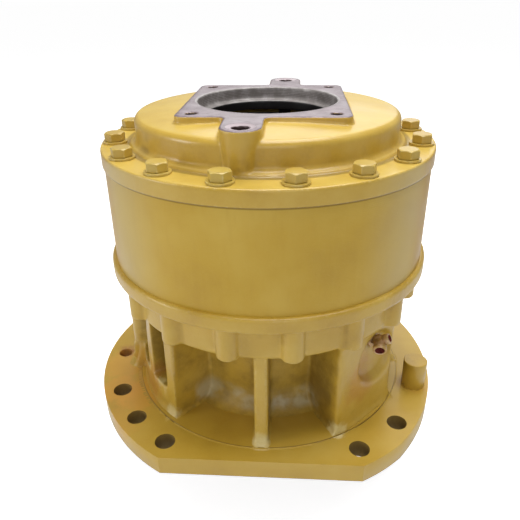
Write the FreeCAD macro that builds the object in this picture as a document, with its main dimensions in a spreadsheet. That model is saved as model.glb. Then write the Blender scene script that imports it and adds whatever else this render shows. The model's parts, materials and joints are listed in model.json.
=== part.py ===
import FreeCAD, Part
import math
import operator
import os

import Sketcher
from FreeCAD import Placement, Rotation, Vector

# Swing gearbox of an excavator: two planetary stages in one ring gear turn a pinion that hangs
# below the mounting flange. The origin is the centre of the mounting face, +Z is the axis and
# points to the motor, and the front flat of the flange faces -Y. Angles about the axis are in
# degrees, 0 towards -Y and counted anticlockwise from above.

os.makedirs("parts", exist_ok=True)
doc = FreeCAD.newDocument("swing_gearbox")
sheet = doc.addObject("Spreadsheet::Sheet", "Sizes")

SIGNS = {"+": operator.add, "-": operator.sub, "*": operator.mul, "/": operator.truediv}


class Size:
    """A number that keeps the sheet formula it comes from."""

    def __init__(self, formula, value):
        self.formula = formula
        self.value = float(value)

    def __add__(self, other):
        return joined(self, "+", other)

    def __radd__(self, other):
        return joined(other, "+", self)

    def __sub__(self, other):
        return joined(self, "-", other)

    def __rsub__(self, other):
        return joined(other, "-", self)

    def __mul__(self, other):
        return joined(self, "*", other)

    def __rmul__(self, other):
        return joined(other, "*", self)

    def __truediv__(self, other):
        return joined(self, "/", other)

    def __rtruediv__(self, other):
        return joined(other, "/", self)

    def __neg__(self):
        return joined(0.0, "-", self)


def as_size(number):
    """The number itself, or a plain number as a formula."""
    if isinstance(number, Size):
        return number
    return Size("(%r)" % float(number), number)


def joined(left, sign, right):
    """Two sizes joined by a sign, as a formula and as a value."""
    left = as_size(left)
    right = as_size(right)
    formula = "(%s %s %s)" % (left.formula, sign, right.formula)
    return Size(formula, SIGNS[sign](left.value, right.value))


def sine(angle):
    angle = as_size(angle)
    return Size("sin(%s)" % angle.formula, math.sin(math.radians(angle.value)))


def cosine(angle):
    angle = as_size(angle)
    return Size("cos(%s)" % angle.formula, math.cos(math.radians(angle.value)))


def value(number):
    """A size as a plain number."""
    return as_size(number).value


rows = []


def size(alias, number, note):
    """One row of the sheet: what it is, its number and its alias."""
    rows.append(alias)
    row = len(rows)
    sheet.set("A%d" % row, note)
    sheet.set("B%d" % row, str(number))
    sheet.setAlias("B%d" % row, alias)
    return Size("Sizes.%s" % alias, number)


# Clearances
seat_fit = size("seat_fit", 0.05, "radial play of pieces seated in one another")
running_fit = size("running_fit", 0.08, "radial play of a bearing surface")
rolling_fit = size("rolling_fit", 0.3, "play of rollers, seals and gears that turn past a wall")
axial_play = size("axial_play", 0.3, "end play of a planet gear")
bolt_play = size("bolt_play", 0.75, "radial play of a bolt in its clearance hole")

# Mounting flange
plate_radius = size("plate_radius", 270, "mounting flange radius")
plate_thick = size("plate_thick", 28, "mounting flange thickness")
flat_depth = size("flat_depth", 36.5, "depth of the two flats below the flange's rim")
seat_width = size("seat_width", 60, "width of the machined bolt seat")
cast_step = size("cast_step", 1.5, "height of the cast surface above the bolt seat")
pilot_radius = size("pilot_radius", 190, "pilot below the mounting face")
pilot_depth = size("pilot_depth", 18, "depth of the pilot")
mount_margin = size("mount_margin", 27, "distance of the mounting holes from the flange's rim")
mount_hole = size("mount_hole", 14, "radius of a mounting hole")
first_angle = size("first_angle", 33, "angle of the holes nearest the flats")
left_second = size("left_second", 49, "angle of the next holes on the left side")
right_second = size("right_second", 51.5, "angle of the next holes on the right side")
side_angle = size("side_angle", 65.5, "angle of the holes on the left side")
side_depth = size("side_depth", 10.5, "depth of the trimmed right side below the rim")
side_radius = size("side_radius", 300, "radius of the trimmed right side")
side_half = size("side_half", 40, "half of the angle that this arc covers")
dowel_angle = size("dowel_angle", 88.5, "angle of the dowel hole on the left side")
dowel_hole = size("dowel_hole", 11, "radius of the dowel hole")
post_angle = size("post_angle", 74.5, "angle of the post on the flange")
post_margin = size("post_margin", 33, "distance of the post's axis from the flange's rim")
post_radius = size("post_radius", 17.5, "post radius")
post_height = size("post_height", 45, "post height above the flange")
post_spigot = size("post_spigot", 10, "radius of the spigot under the post")
post_seat = size("post_seat", 16, "depth of the spigot under the post")

# Cast body of the lower housing
tube_radius = size("tube_radius", 132, "bearing tube radius at its foot")
tube_draft = size("tube_draft", 7, "growth of the tube radius to its top")
flare_width = size("flare_width", 20, "width of the flare at the foot of the tube")
flare_height = size("flare_height", 24, "height of the flare at the foot of the tube")
flare_bend = size("flare_bend", 36, "bend radius of that flare")
band_bottom = size("band_bottom", 172, "underside of the band that carries the bosses")
band_set = size("band_set", 22, "set-back of the band from the top lip")
cast_bend = size("cast_bend", 5, "radius of the cast corners")
lip_bottom = size("lip_bottom", 224, "underside of the top lip")
lip_top = size("lip_top", 245, "joint face of the lower housing")
lip_reach = size("lip_reach", 4, "reach of the top lip beyond the cover flange")
lip_chamfer = size("lip_chamfer", 2, "chamfer of the lip and of the covers")
bowl_set = size("bowl_set", 18.9, "thickness of the bowl's wall inside the register")
bowl_floor = size("bowl_floor", 204, "height where the bowl's wall starts")
bowl_edge = size("bowl_edge", 184, "height of the bowl's inner edge")
boss_radius = size("boss_radius", 15, "radius of a bolt boss")
boss_bottom = size("boss_bottom", 174, "underside of the bolt bosses")
rib_thick = size("rib_thick", 18.5, "rib thickness")
rib_reach = size("rib_reach", 198, "distance of a rib's outer face from the axis")
rib_draft = size("rib_draft", 3, "growth of that distance towards the rib's foot")
rib_foot = size("rib_foot", 11, "bend radius at the foot of a rib")
sill_height = size("sill_height", 72, "height of the sill below the left windows")
sill_slope = size("sill_slope", 8, "rise of the sill towards the tube")
sill_reach = size("sill_reach", 208, "distance of the sill's outer edge from the axis")
sill_toe = size("sill_toe", 16, "width of the flare at the foot of the sill")
sill_bend = size("sill_bend", 60, "bend radius of that flare")
sill_angle = size("sill_angle", 71.5, "middle of the sill, to the left of the front")
sill_sweep = size("sill_sweep", 62, "angle that the sill covers")
drain_angle = size("drain_angle", 46.5, "direction of the drain block's face")
drain_face = size("drain_face", 200, "distance of the drain block's face from the axis")
drain_half = size("drain_half", 63, "half width of the drain block's face")
drain_foot = size("drain_foot", 13, "bend radius at the foot of the drain block")
recess_side = size("recess_side", 20, "sideways place of the drain recess")
recess_height = size("recess_height", 121, "height of the drain recess")
recess_radius = size("recess_radius", 38, "radius of the drain recess")
recess_depth = size("recess_depth", 13, "depth of the drain recess")
left_angle = size("left_angle", -90, "direction of the left block's face")
left_face = size("left_face", 217, "distance of the left block's face from the axis")
left_half = size("left_half", 38, "half width of the left block's face")
left_toe = size("left_toe", 13, "width of the flare at the foot of the left block")
left_corner = size("left_corner", 13, "corner radius of the left block")

# Bolted joint of housing, ring gear and cover
bolt_count = size("bolt_count", 16, "number of cover bolts")
bolt_margin = size("bolt_margin", 19, "distance of the cover bolts from the cover's rim")
bolt_phase = size("bolt_phase", 11.25, "angle of the first cover bolt")
bolt_radius = size("bolt_radius", 8, "radius of a cover bolt")
bolt_flats = size("bolt_flats", 24, "width across flats of a cover bolt")
bolt_head = size("bolt_head", 11, "head height of a cover bolt")
crown_slope = size("crown_slope", 30, "slope of the chamfer on a bolt's head")
crown_share = size("crown_share", 0.95, "flat top of a bolt's head, as a share of its flats")
socket_share = size("socket_share", 0.6, "depth of a screw's socket, as a share of its head")
bolt_grip = size("bolt_grip", 32, "length of a cover bolt in the lower housing")
bolt_space = size("bolt_space", 6, "free depth below a cover bolt")
washer_radius = size("washer_radius", 16, "radius of a cover washer")
washer_thick = size("washer_thick", 3, "thickness of a cover washer")
register_set = size("register_set", 15.1, "distance of the registers from the bolt circle")
register_height = size("register_height", 5, "height of the registers")
ring_set = size("ring_set", 2.5, "set-back of the ring gear's wall from the cover's rim")
ring_height = size("ring_height", 133.4, "ring gear height")
seal_set = size("seal_set", 11.6, "distance of the round seals from the bolt circle")
seal_section = size("seal_section", 1.2, "section radius of those seals")

# Cover with the motor seat
cover_radius = size("cover_radius", 225, "cover flange radius")
cover_thick = size("cover_thick", 21.4, "cover flange thickness")
skirt_set = size("skirt_set", 20.5, "distance of the dome's foot from the bolt circle")
skirt_height = size("skirt_height", 3, "height of that foot")
dome_set = size("dome_set", 7.5, "set-back of the dome's wall from its foot")
dome_height = size("dome_height", 38.2, "dome height above the flange")
dome_rise = size("dome_rise", 10, "rise of the dome's roof towards its middle")
dome_bend = size("dome_bend", 9, "bend radius of the dome's top edge")
skirt_bend = size("skirt_bend", 7.5, "bend radius of the dome's foot")
roof_thick = size("roof_thick", 18.5, "thickness of the dome's roof")
dome_wall = size("dome_wall", 17, "thickness of the dome's wall")
pad_rise = size("pad_rise", 12, "height of the motor pad above the dome's edge")
pad_wide = size("pad_wide", 212, "width of the motor pad")
pad_long = size("pad_long", 228, "length of the motor pad")
pad_corner = size("pad_corner", 12, "corner radius of the motor pad")
motor_bore = size("motor_bore", 93.5, "radius of the motor's pilot bore")
motor_depth = size("motor_depth", 17.5, "depth of the motor's pilot bore")
motor_step = size("motor_step", 83, "radius of the opening below the pilot bore")
motor_groove = size("motor_groove", 2.2, "size of the seal groove in the pilot bore")
motor_across = size("motor_across", 174, "spacing of the motor's threaded holes in X")
motor_along = size("motor_along", 190, "spacing of the motor's threaded holes in Y")
motor_thread = size("motor_thread", 7, "radius of the motor's threaded holes")
motor_tap = size("motor_tap", 22, "depth of the motor's threaded holes")
port_side = size("port_side", -21, "sideways place of the front port, the other is opposite")
port_reach = size("port_reach", 163.5, "distance of the ports in front of and behind the axis")
port_boss = size("port_boss", 24, "radius of a port's boss")
port_draft = size("port_draft", 4, "draft angle of a port's boss")
port_bend = size("port_bend", 9, "bend radius between a port's neck and the pad")
port_thread = size("port_thread", 10, "radius of a port's thread")
port_tap = size("port_tap", 24, "depth of a port's thread")
port_face = size("port_face", 16.5, "radius of a port's sealing face")
port_sink = size("port_sink", 1.2, "depth of a port's sealing face")

# Output shaft, its bearings and its seal
lower_seat = size("lower_seat", 4, "lower face of the lower bearing")
lower_width = size("lower_width", 50, "width of the lower bearing")
lower_outer = size("lower_outer", 112.5, "outer radius of the lower bearing")
lower_bore = size("lower_bore", 75, "bore radius of the lower bearing")
upper_seat = size("upper_seat", 132, "lower face of the upper bearing")
upper_width = size("upper_width", 46, "width of the upper bearing")
upper_outer = size("upper_outer", 107.5, "outer radius of the upper bearing")
upper_bore = size("upper_bore", 65, "bore radius of the upper bearing")
race_thick = size("race_thick", 10, "thickness of the bearing races")
shoulder = size("shoulder", 11, "height of the bearing shoulders in the housing")
cavity_step = size("cavity_step", 5, "depth of the bearing shoulders along the axis")
roller_count = size("roller_count", 14, "number of rollers in a bearing")
cage_thick = size("cage_thick", 4, "thickness of a bearing cage")
cage_margin = size("cage_margin", 5, "width of a cage beyond its rollers")
sleeve_thick = size("sleeve_thick", 5, "thickness of the seal sleeve")
carrier_plate = size("carrier_plate", 12, "thickness of the seal carrier's flange")
carrier_radius = size("carrier_radius", 136, "radius of the seal carrier")
lip_seal = size("lip_seal", 15, "height of the lip seal")
lip_seal_outer = size("lip_seal_outer", 95, "outer radius of the lip seal")
carrier_bolt_count = size("carrier_bolt_count", 8, "number of seal carrier bolts")
carrier_bolt_circle = size("carrier_bolt_circle", 124, "radius of their circle")
carrier_bolt_radius = size("carrier_bolt_radius", 5, "radius of a seal carrier bolt")
carrier_bolt_grip = size("carrier_bolt_grip", 20, "length of a seal carrier bolt in the housing")
carrier_head_radius = size("carrier_head_radius", 8, "head radius of a seal carrier bolt")
carrier_head_height = size("carrier_head_height", 7, "head height of a seal carrier bolt")
key_flats = size("key_flats", 8, "hexagon socket across flats of a socket screw")
pinion_teeth = size("pinion_teeth", 13, "teeth of the output pinion")
pinion_module = size("pinion_module", 12, "module of the output pinion")
pinion_shift = size("pinion_shift", 0.5, "profile shift of the output pinion")
pinion_tip = size("pinion_tip", 93, "tip radius of the output pinion")
pinion_dedendum = size("pinion_dedendum", 1.25, "dedendum of the output pinion, in modules")
pinion_width = size("pinion_width", 100, "face width of the output pinion")
pinion_top = size("pinion_top", 25, "depth of the pinion's upper face below the mounting face")
shaft_collar = size("shaft_collar", 84, "radius of the collar above the pinion")
spline_teeth = size("spline_teeth", 18, "teeth of the shaft's spline")
spline_module = size("spline_module", 6, "module of the shaft's spline")
spline_length = size("spline_length", 40, "length of the shaft's spline")
spline_addendum = size("spline_addendum", 0.5, "addendum of the splines, in modules")
spline_dedendum = size("spline_dedendum", 0.6, "dedendum of the splines, in modules")
nut_radius = size("nut_radius", 84, "radius of the bearing nut")
nut_height = size("nut_height", 14, "height of the bearing nut")
nut_slot = size("nut_slot", 10, "width of the slots in the bearing nut")

# Planetary stages
ring_wall = size("ring_wall", 10.9, "distance of the ring gear's pitch circle from the registers")
addendum = size("addendum", 0.85, "addendum of both stages, in modules")
dedendum = size("dedendum", 1.1, "dedendum of both stages, in modules")
pressure_angle = size("pressure_angle", 25, "pressure angle of both stages")
backlash = size("backlash", 0.5, "backlash of each mesh on the pitch circle")
ring_teeth = size("ring_teeth", 60, "teeth of the ring gear")
second_teeth = size("second_teeth", 20, "teeth of a second stage planet")
second_count = size("second_count", 4, "number of second stage planets")
second_width = size("second_width", 54, "face width of the second stage planets")
second_cheek = size("second_cheek", 24, "thickness of the second carrier's lower cheek")
second_cover = size("second_cover", 13, "thickness of the second carrier's upper cheek")
second_base = size("second_base", 230, "underside of the second carrier's lower cheek")
second_room = size("second_room", 12, "space round the second carrier")
second_hub = size("second_hub", 78, "hub radius of the second carrier")
second_pin = size("second_pin", 22, "radius of a second stage pin")
first_teeth = size("first_teeth", 24, "teeth of a first stage planet")
first_count = size("first_count", 3, "number of first stage planets")
first_width = size("first_width", 28, "face width of the first stage planets")
first_cheek = size("first_cheek", 12, "thickness of the first carrier's lower cheek")
first_cover = size("first_cover", 10, "thickness of the first carrier's upper cheek")
first_base = size("first_base", 329, "underside of the first carrier's lower cheek")
first_room = size("first_room", 30, "space round the first carrier")
first_hub = size("first_hub", 2, "height of the first carrier's hub")
first_pin = size("first_pin", 16, "radius of a first stage pin")
bush_thick = size("bush_thick", 6, "thickness of a planet's bearing sleeve")
thrust_thick = size("thrust_thick", 1.6, "thickness of a thrust washer")
thrust_width = size("thrust_width", 13, "width of a thrust washer's ring")
pillar_radius = size("pillar_radius", 18, "radius of the carriers' pillars")
pillar_edge = size("pillar_edge", 2, "distance of the pillars from the carriers' rims")
sun_top = size("sun_top", 400, "top of the input sun")
input_teeth = size("input_teeth", 16, "teeth of the input spline")
input_module = size("input_module", 2.5, "module of the input spline")
input_depth = size("input_depth", 1.2, "half of the depth of the input spline")
button_radius = size("button_radius", 16, "radius of the thrust button under the input sun")
keeper_radius = size("keeper_radius", 50, "radius of the plate that holds the second carrier")
keeper_thick = size("keeper_thick", 7, "thickness of that plate")
keeper_bolt = size("keeper_bolt", 6, "radius of its bolts")
keeper_circle = size("keeper_circle", 28, "radius of the circle of its bolts")
keeper_head = size("keeper_head", 6.5, "head height of its bolts")
keeper_grip = size("keeper_grip", 26, "length of its bolts in the shaft")
keeper_count = size("keeper_count", 3, "number of its bolts")

# Drain fittings
fitting_side = size("fitting_side", 20, "sideways place of the drain adapter")
fitting_height = size("fitting_height", 145, "height of the drain adapter")
fitting_thread = size("fitting_thread", 9, "thread radius of the drain adapter")
fitting_depth = size("fitting_depth", 18, "length of that thread in the housing")
fitting_flats = size("fitting_flats", 20, "width across flats of the drain adapter")
fitting_hex = size("fitting_hex", 4, "height of the adapter's hexagon")
fitting_bore = size("fitting_bore", 5.5, "bore radius of the fittings")
elbow_radius = size("elbow_radius", 8.5, "outer radius of the drain elbow")
elbow_reach = size("elbow_reach", 13, "distance of the elbow's centre from the adapter")
elbow_arm = size("elbow_arm", 13, "length of the elbow's open arm")
elbow_turn = size("elbow_turn", 66, "slope of the elbow's open arm below the face's normal")
nipple_radius = size("nipple_radius", 5.5, "outer radius of the side nipple")
nipple_bore = size("nipple_bore", 3.5, "bore radius of the side nipple")
nipple_arm = size("nipple_arm", 13, "length of the side nipple outside the elbow")
elbow_stub = size("elbow_stub", 12, "length of the elbow's side arm")
nipple_turn = size("nipple_turn", 74, "direction of the side nipple from the face's normal")
nipple_flats = size("nipple_flats", 14, "width across flats of the side nipple")
nipple_hex = size("nipple_hex", 5, "height of the side nipple's hexagon")
stub_share = size("stub_share", 0.8, "radius of a stub, as a share of the pipe that it joins")

doc.recompute()

# Levels and radii that follow from the sizes above
plate_flat = plate_radius - flat_depth
side_edge = plate_radius - side_depth
seat_radius = plate_radius - seat_width
mount_circle = plate_radius - mount_margin
post_circle = plate_radius - post_margin
lip_radius = cover_radius + lip_reach
band_radius = lip_radius - band_set
ring_radius = cover_radius - ring_set
bolt_circle = cover_radius - bolt_margin
seal_circle = bolt_circle - seal_set
register_radius = bolt_circle - register_set
bowl_radius = register_radius - bowl_set
skirt_radius = bolt_circle - skirt_set
dome_radius = skirt_radius - dome_set
second_rim = bowl_radius - second_room
first_rim = bowl_radius - first_room
cast_top = plate_thick + cast_step
tube_top_radius = tube_radius + tube_draft
ring_top = lip_top + ring_height
cover_top = ring_top + cover_thick
dome_top = cover_top + dome_height
pad_top = dome_top + pad_rise
ring_pitch = register_radius - ring_wall
gear_module = 2 * ring_pitch / ring_teeth
second_pitch = gear_module * second_teeth / 2
second_orbit = ring_pitch - second_pitch
first_pitch = gear_module * first_teeth / 2
first_orbit = ring_pitch - first_pitch
second_sun_teeth = ring_teeth - 2 * second_teeth
first_sun_teeth = ring_teeth - 2 * first_teeth
second_floor = second_base + second_cheek
second_roof = second_floor + second_width + 2 * thrust_thick + 2 * axial_play
first_floor = first_base + first_cheek
first_roof = first_floor + first_width + 2 * thrust_thick + 2 * axial_play
shaft_end = second_base + second_cheek / 3
lower_pitch = (lower_bore + lower_outer) / 2
upper_pitch = (upper_bore + upper_outer) / 2


# Sketches

def origin_plane(body, role):
    """One of the body's own origin planes."""
    for feature in body.Origin.OriginFeatures:
        if feature.Role == role:
            return feature
    raise ValueError(role)


def bind(target, path, number):
    """Give a property the formula of a size."""
    target.setExpression(path, as_size(number).formula)


def flat_sketch(body, name, height=0.0, turn=0.0):
    """A sketch on a level plane, turned about the axis."""
    sketch = body.newObject("Sketcher::SketchObject", name)
    sketch.AttachmentSupport = [(origin_plane(body, "XY_Plane"), "")]
    sketch.MapMode = "FlatFace"
    sketch.AttachmentOffset = Placement(Vector(0, 0, value(height)), Rotation(Vector(0, 0, 1), value(turn)))
    bind(sketch, "AttachmentOffset.Base.z", height)
    bind(sketch, "AttachmentOffset.Rotation.Angle", turn)
    return sketch


def upright_sketch(body, name, facing=0.0, distance=0.0):
    """A sketch on an upright plane that faces an angle, at a distance from the axis."""
    sketch = body.newObject("Sketcher::SketchObject", name)
    sketch.AttachmentSupport = [(origin_plane(body, "XZ_Plane"), "")]
    sketch.MapMode = "FlatFace"
    side = as_size(distance) * sine(facing)
    ahead = as_size(distance) * cosine(facing)
    offset = Vector(side.value, 0, ahead.value)
    sketch.AttachmentOffset = Placement(offset, Rotation(Vector(0, 1, 0), value(facing)))
    bind(sketch, "AttachmentOffset.Base.x", side)
    bind(sketch, "AttachmentOffset.Base.z", ahead)
    bind(sketch, "AttachmentOffset.Rotation.Angle", facing)
    return sketch


def section_sketch(body, name, angle=90.0):
    """A sketch through the axis: x is the distance from the axis at that angle, y the height."""
    return upright_sketch(body, name, as_size(angle) - 90)


def hold(sketch, kind, edge, end, number):
    """Fix one coordinate of a point to a size."""
    index = sketch.addConstraint(Sketcher.Constraint(kind, edge, end, value(number)))
    bind(sketch, "Constraints[%d]" % index, number)


def arc_between(start, finish, radius):
    """The short arc from start to finish, anticlockwise for a positive radius."""
    chord = finish - start
    half = chord.Length / 2
    side = 1 if radius > 0 else -1
    normal = Vector(-chord.y, chord.x, 0).normalize() * side
    centre = (start + finish) * 0.5 + normal * math.sqrt(max(radius * radius - half * half, 0))
    circle = Part.Circle(centre, Vector(0, 0, 1), abs(radius))
    angles = [math.atan2(point.y - centre.y, point.x - centre.x) for point in (start, finish)]
    if radius < 0:
        angles.reverse()
    return Part.ArcOfCircle(circle, angles[0], angles[1])


def draw(sketch, corners, bends=None):
    """A closed outline. bends gives the signed radius of the arc that leaves a corner."""
    bends = bends or {}
    points = [Vector(value(x), value(y), 0) for x, y in corners]
    count = len(points)
    first = sketch.GeometryCount
    ends = []
    for index in range(count):
        start = points[index]
        finish = points[(index + 1) % count]
        radius = value(bends.get(index, 0.0))
        if radius:
            sketch.addGeometry(arc_between(start, finish, radius), False)
        else:
            sketch.addGeometry(Part.LineSegment(start, finish), False)
        ends.append((2, 1) if radius < 0 else (1, 2))
    for index in range(count):
        before = (index - 1) % count
        link = (first + before, ends[before][1], first + index, ends[index][0])
        sketch.addConstraint(Sketcher.Constraint("Coincident", *link))
    for index, (x, y) in enumerate(corners):
        hold(sketch, "DistanceX", first + index, ends[index][0], x)
        hold(sketch, "DistanceY", first + index, ends[index][0], y)
    for index, radius in bends.items():
        side = 1 if value(radius) > 0 else -1
        edge = first + index
        number = sketch.addConstraint(Sketcher.Constraint("Radius", edge, abs(value(radius))))
        bind(sketch, "Constraints[%d]" % number, as_size(radius) * side)


def draw_circle(sketch, x, y, radius):
    """A circle about a point."""
    centre = Vector(value(x), value(y), 0)
    edge = sketch.addGeometry(Part.Circle(centre, Vector(0, 0, 1), value(radius)), False)
    number = sketch.addConstraint(Sketcher.Constraint("Radius", edge, value(radius)))
    bind(sketch, "Constraints[%d]" % number, radius)
    hold(sketch, "DistanceX", edge, 3, x)
    hold(sketch, "DistanceY", edge, 3, y)


def around(radius, angle):
    """The point at a radius and an angle, seen from above."""
    return (as_size(radius) * sine(angle), -(as_size(radius) * cosine(angle)))


# Features

nodes = []


def new_body(label):
    body = doc.addObject("PartDesign::Body", label)
    body.Label = label
    return body


def keep(item, label):
    """List an object as a piece of its own under its name."""
    item.Label = label
    nodes.append(item)
    return item


def revolve(body, sketch, sweep=360.0, cut=False):
    """Turn a section about the axis, to add or to cut."""
    kind = "PartDesign::Groove" if cut else "PartDesign::Revolution"
    feature = body.newObject(kind, sketch.Name + "_turned")
    feature.Profile = sketch
    feature.ReferenceAxis = (sketch, ["V_Axis"])
    feature.Midplane = True
    bind(feature, "Angle", sweep)
    body.Tip = feature
    return feature


def pad(body, sketch, length, both_ways=False, backwards=False):
    """Grow a sketch along its normal."""
    feature = body.newObject("PartDesign::Pad", sketch.Name + "_pad")
    feature.Profile = sketch
    feature.SideType = "Symmetric" if both_ways else "One side"
    feature.Reversed = backwards
    bind(feature, "Length", length)
    body.Tip = feature
    return feature


def pocket(body, sketch, depth, backwards=False):
    """Cut a sketch against its normal, or along it when backwards."""
    feature = body.newObject("PartDesign::Pocket", sketch.Name + "_pocket")
    feature.Profile = sketch
    feature.Reversed = backwards
    bind(feature, "Length", depth)
    body.Tip = feature
    return feature


def polar(body, feature, count):
    """Repeat a feature about the axis."""
    pattern = body.newObject("PartDesign::PolarPattern", feature.Name + "_pattern")
    pattern.Originals = [feature]
    pattern.Axis = (feature.Profile[0], ["N_Axis"])
    pattern.Angle = 360
    bind(pattern, "Occurrences", count)
    body.Tip = pattern
    return pattern


def turned_piece(label, corners, bends=None):
    """A piece that is one turned section."""
    body = new_body(label)
    sketch = section_sketch(body, label + "_section")
    draw(sketch, corners, bends)
    revolve(body, sketch)
    return body


def ring_piece(label, inner, outer, bottom, top):
    """A plain ring about the axis."""
    corners = [(inner, bottom), (outer, bottom), (outer, top), (inner, top)]
    return keep(turned_piece(label, corners), label)


def group(label, shape, places):
    """Equal loose pieces as one node."""
    feature = doc.addObject("Part::Feature", label)
    copies = []
    for place in places:
        copy = shape.copy()
        copy.Placement = place.multiply(copy.Placement)
        copies.append(copy)
    feature.Shape = Part.Compound(copies)
    return keep(feature, label)


def circle_places(radius, count, phase=0.0, height=0.0):
    """Places evenly round the axis, each turned to face outwards."""
    places = []
    number = int(round(value(count)))
    for index in range(number):
        angle = value(phase) + index * 360.0 / number
        x, y = around(radius, angle)
        spin = Rotation(Vector(0, 0, 1), angle)
        places.append(Placement(Vector(x.value, y.value, value(height)), spin))
    return places


# Toothed outlines

def involute(angle):
    return math.tan(angle) - angle


def toothed_prism(teeth, module, tip, root, height, turned=0.0, thicker=0.0, shift=0.0, steps=2):
    """A prism with straight teeth, one of them centred on the angle turned, front is zero."""
    pressure = math.radians(value(pressure_angle))
    number = int(round(teeth))
    pitch = module * number / 2.0
    base = pitch * math.cos(pressure)
    thick = module * (math.pi / 2 + 2 * shift * math.tan(pressure)) + thicker
    middle = thick / (2 * pitch) + involute(pressure)
    flank = []
    for step in range(steps + 1):
        radius = root + (tip - root) * step / steps
        reach = max(radius, base)
        flank.append((radius, middle - involute(math.acos(base / reach))))
    points = []
    for tooth in range(number):
        centre = math.radians(turned) + tooth * 2 * math.pi / number
        for radius, half in flank:
            points.append((radius, centre - half))
        for radius, half in reversed(flank):
            points.append((radius, centre + half))
    corners = [Vector(r * math.sin(a), -r * math.cos(a), 0) for r, a in points]
    corners.append(corners[0])
    return Part.Face(Part.makePolygon(corners)).extrude(Vector(0, 0, height))


def stage_gear(teeth, height, turned=0.0):
    """An outer gear of the planetary stages, thinned by its share of the backlash."""
    module = gear_module.value
    pitch = module * value(teeth) / 2
    thinner = -backlash.value / 2
    return toothed_prism(value(teeth), module, pitch + addendum.value * module,
                         pitch - dedendum.value * module,
                         value(height), turned, thinner)


def cylinder(radius, height, bottom=0.0):
    return Part.makeCylinder(value(radius), value(height), Vector(0, 0, value(bottom)))


def shape_piece(label, shape, place=None):
    """A piece whose shape is worked out above, put at its place."""
    feature = doc.addObject("Part::Feature", label)
    feature.Shape = shape.removeSplitter()
    if place is not None:
        feature.Placement = place
    return keep(feature, label)


# Bolts and screws

def hexagon(flats, height):
    """A hexagonal prism with two corners to the sides."""
    radius = value(flats) / math.sqrt(3)
    corners = []
    for index in range(7):
        angle = math.radians(60 * index)
        corners.append(Vector(radius * math.cos(angle), radius * math.sin(angle), 0))
    return Part.Face(Part.makePolygon(corners)).extrude(Vector(0, 0, value(height)))


def hex_bolt(flats, head, radius, length):
    """A hexagon bolt that points down, its head's underside at zero."""
    flat_top = value(flats) / 2 * crown_share.value
    spread = value(head) / math.tan(math.radians(crown_slope.value))
    cone = Part.makeCone(flat_top + spread, flat_top, value(head))
    top = hexagon(flats, head).common(cone)
    shank = cylinder(radius, length, -value(length))
    return top.fuse(shank).removeSplitter()


def socket_screw(head_radius, head, radius, length):
    """A socket head screw that points up, its head's upper face at zero."""
    top = cylinder(head_radius, head, -value(head))
    socket = hexagon(key_flats, value(head) * socket_share.value)
    socket.translate(Vector(0, 0, -value(head)))
    return top.cut(socket).fuse(cylinder(radius, length)).removeSplitter()


# Lower housing

def lower_housing():
    body = new_body("lower_housing")
    section = section_sketch(body, "housing_section")
    recess_wall = carrier_radius + seat_fit
    lower_wall = lower_outer + seat_fit
    upper_wall = upper_outer + seat_fit
    carrier_top = carrier_plate - pilot_depth
    lower_end = lower_seat + lower_width
    corners = [
        (recess_wall, -pilot_depth),
        (pilot_radius, -pilot_depth),
        (pilot_radius, 0),
        (plate_radius, 0),
        (plate_radius, plate_thick),
        (seat_radius, plate_thick),
        (seat_radius, cast_top),
        (tube_radius + flare_width, cast_top),
        (tube_radius, cast_top + flare_height),
        (tube_top_radius, band_bottom - cast_bend),
        (tube_top_radius + cast_bend, band_bottom),
        (band_radius - cast_bend, band_bottom),
        (band_radius, band_bottom + cast_bend),
        (band_radius, lip_bottom - cast_bend),
        (band_radius + cast_bend, lip_bottom),
        (lip_radius, lip_bottom),
        (lip_radius, lip_top - lip_chamfer),
        (lip_radius - lip_chamfer, lip_top),
        (register_radius, lip_top),
        (register_radius, lip_top + register_height),
        (bowl_radius, lip_top + register_height),
        (bowl_radius, bowl_floor),
        (upper_wall + cast_bend, bowl_edge),
        (upper_wall, bowl_edge),
        (upper_wall, upper_seat),
        (upper_wall - shoulder, upper_seat),
        (upper_wall - shoulder, upper_seat - cavity_step),
        (lower_wall - shoulder, lower_end + cavity_step),
        (lower_wall - shoulder, lower_end),
        (lower_wall, lower_end),
        (lower_wall, carrier_top),
        (recess_wall, carrier_top),
    ]
    bends = {7: -flare_bend, 9: -cast_bend, 11: cast_bend, 13: -cast_bend}
    draw(section, corners, bends)
    revolve(body, section)
    housing_bosses(body)
    for number, angle in enumerate(rib_angles()):
        housing_rib(body, number, angle)
    housing_sill(body)
    drain_block(body)
    left_block(body)
    housing_holes(body)
    return keep(body, "lower_housing")


def rib_angles():
    """The front rib, two on the left, and the ribs of the side and the back."""
    return [0, -41, -58, 90, 114, 135, 157.5, 180, -157.5, -135, -114]


def housing_bosses(body):
    sketch = flat_sketch(body, "boss_sketch", boss_bottom)
    x, y = around(bolt_circle, bolt_phase)
    draw_circle(sketch, x, y, boss_radius)
    boss = pad(body, sketch, lip_bottom - boss_bottom + lip_chamfer)
    polar(body, boss, bolt_count)


def housing_rib(body, number, angle):
    """A rib between the tube and the band, with a flared foot."""
    sketch = section_sketch(body, "rib_sketch_%d" % number, angle)
    root = (tube_radius + lower_outer) / 2
    toe = rib_reach + rib_draft + rib_foot
    corners = [
        (root, plate_thick / 2),
        (toe, plate_thick / 2),
        (toe, cast_top),
        (rib_reach + rib_draft, cast_top + rib_foot),
        (rib_reach, band_bottom + cast_bend),
        (root, band_bottom + cast_bend),
    ]
    draw(sketch, corners, {2: -rib_foot})
    pad(body, sketch, rib_thick, both_ways=True)


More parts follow.
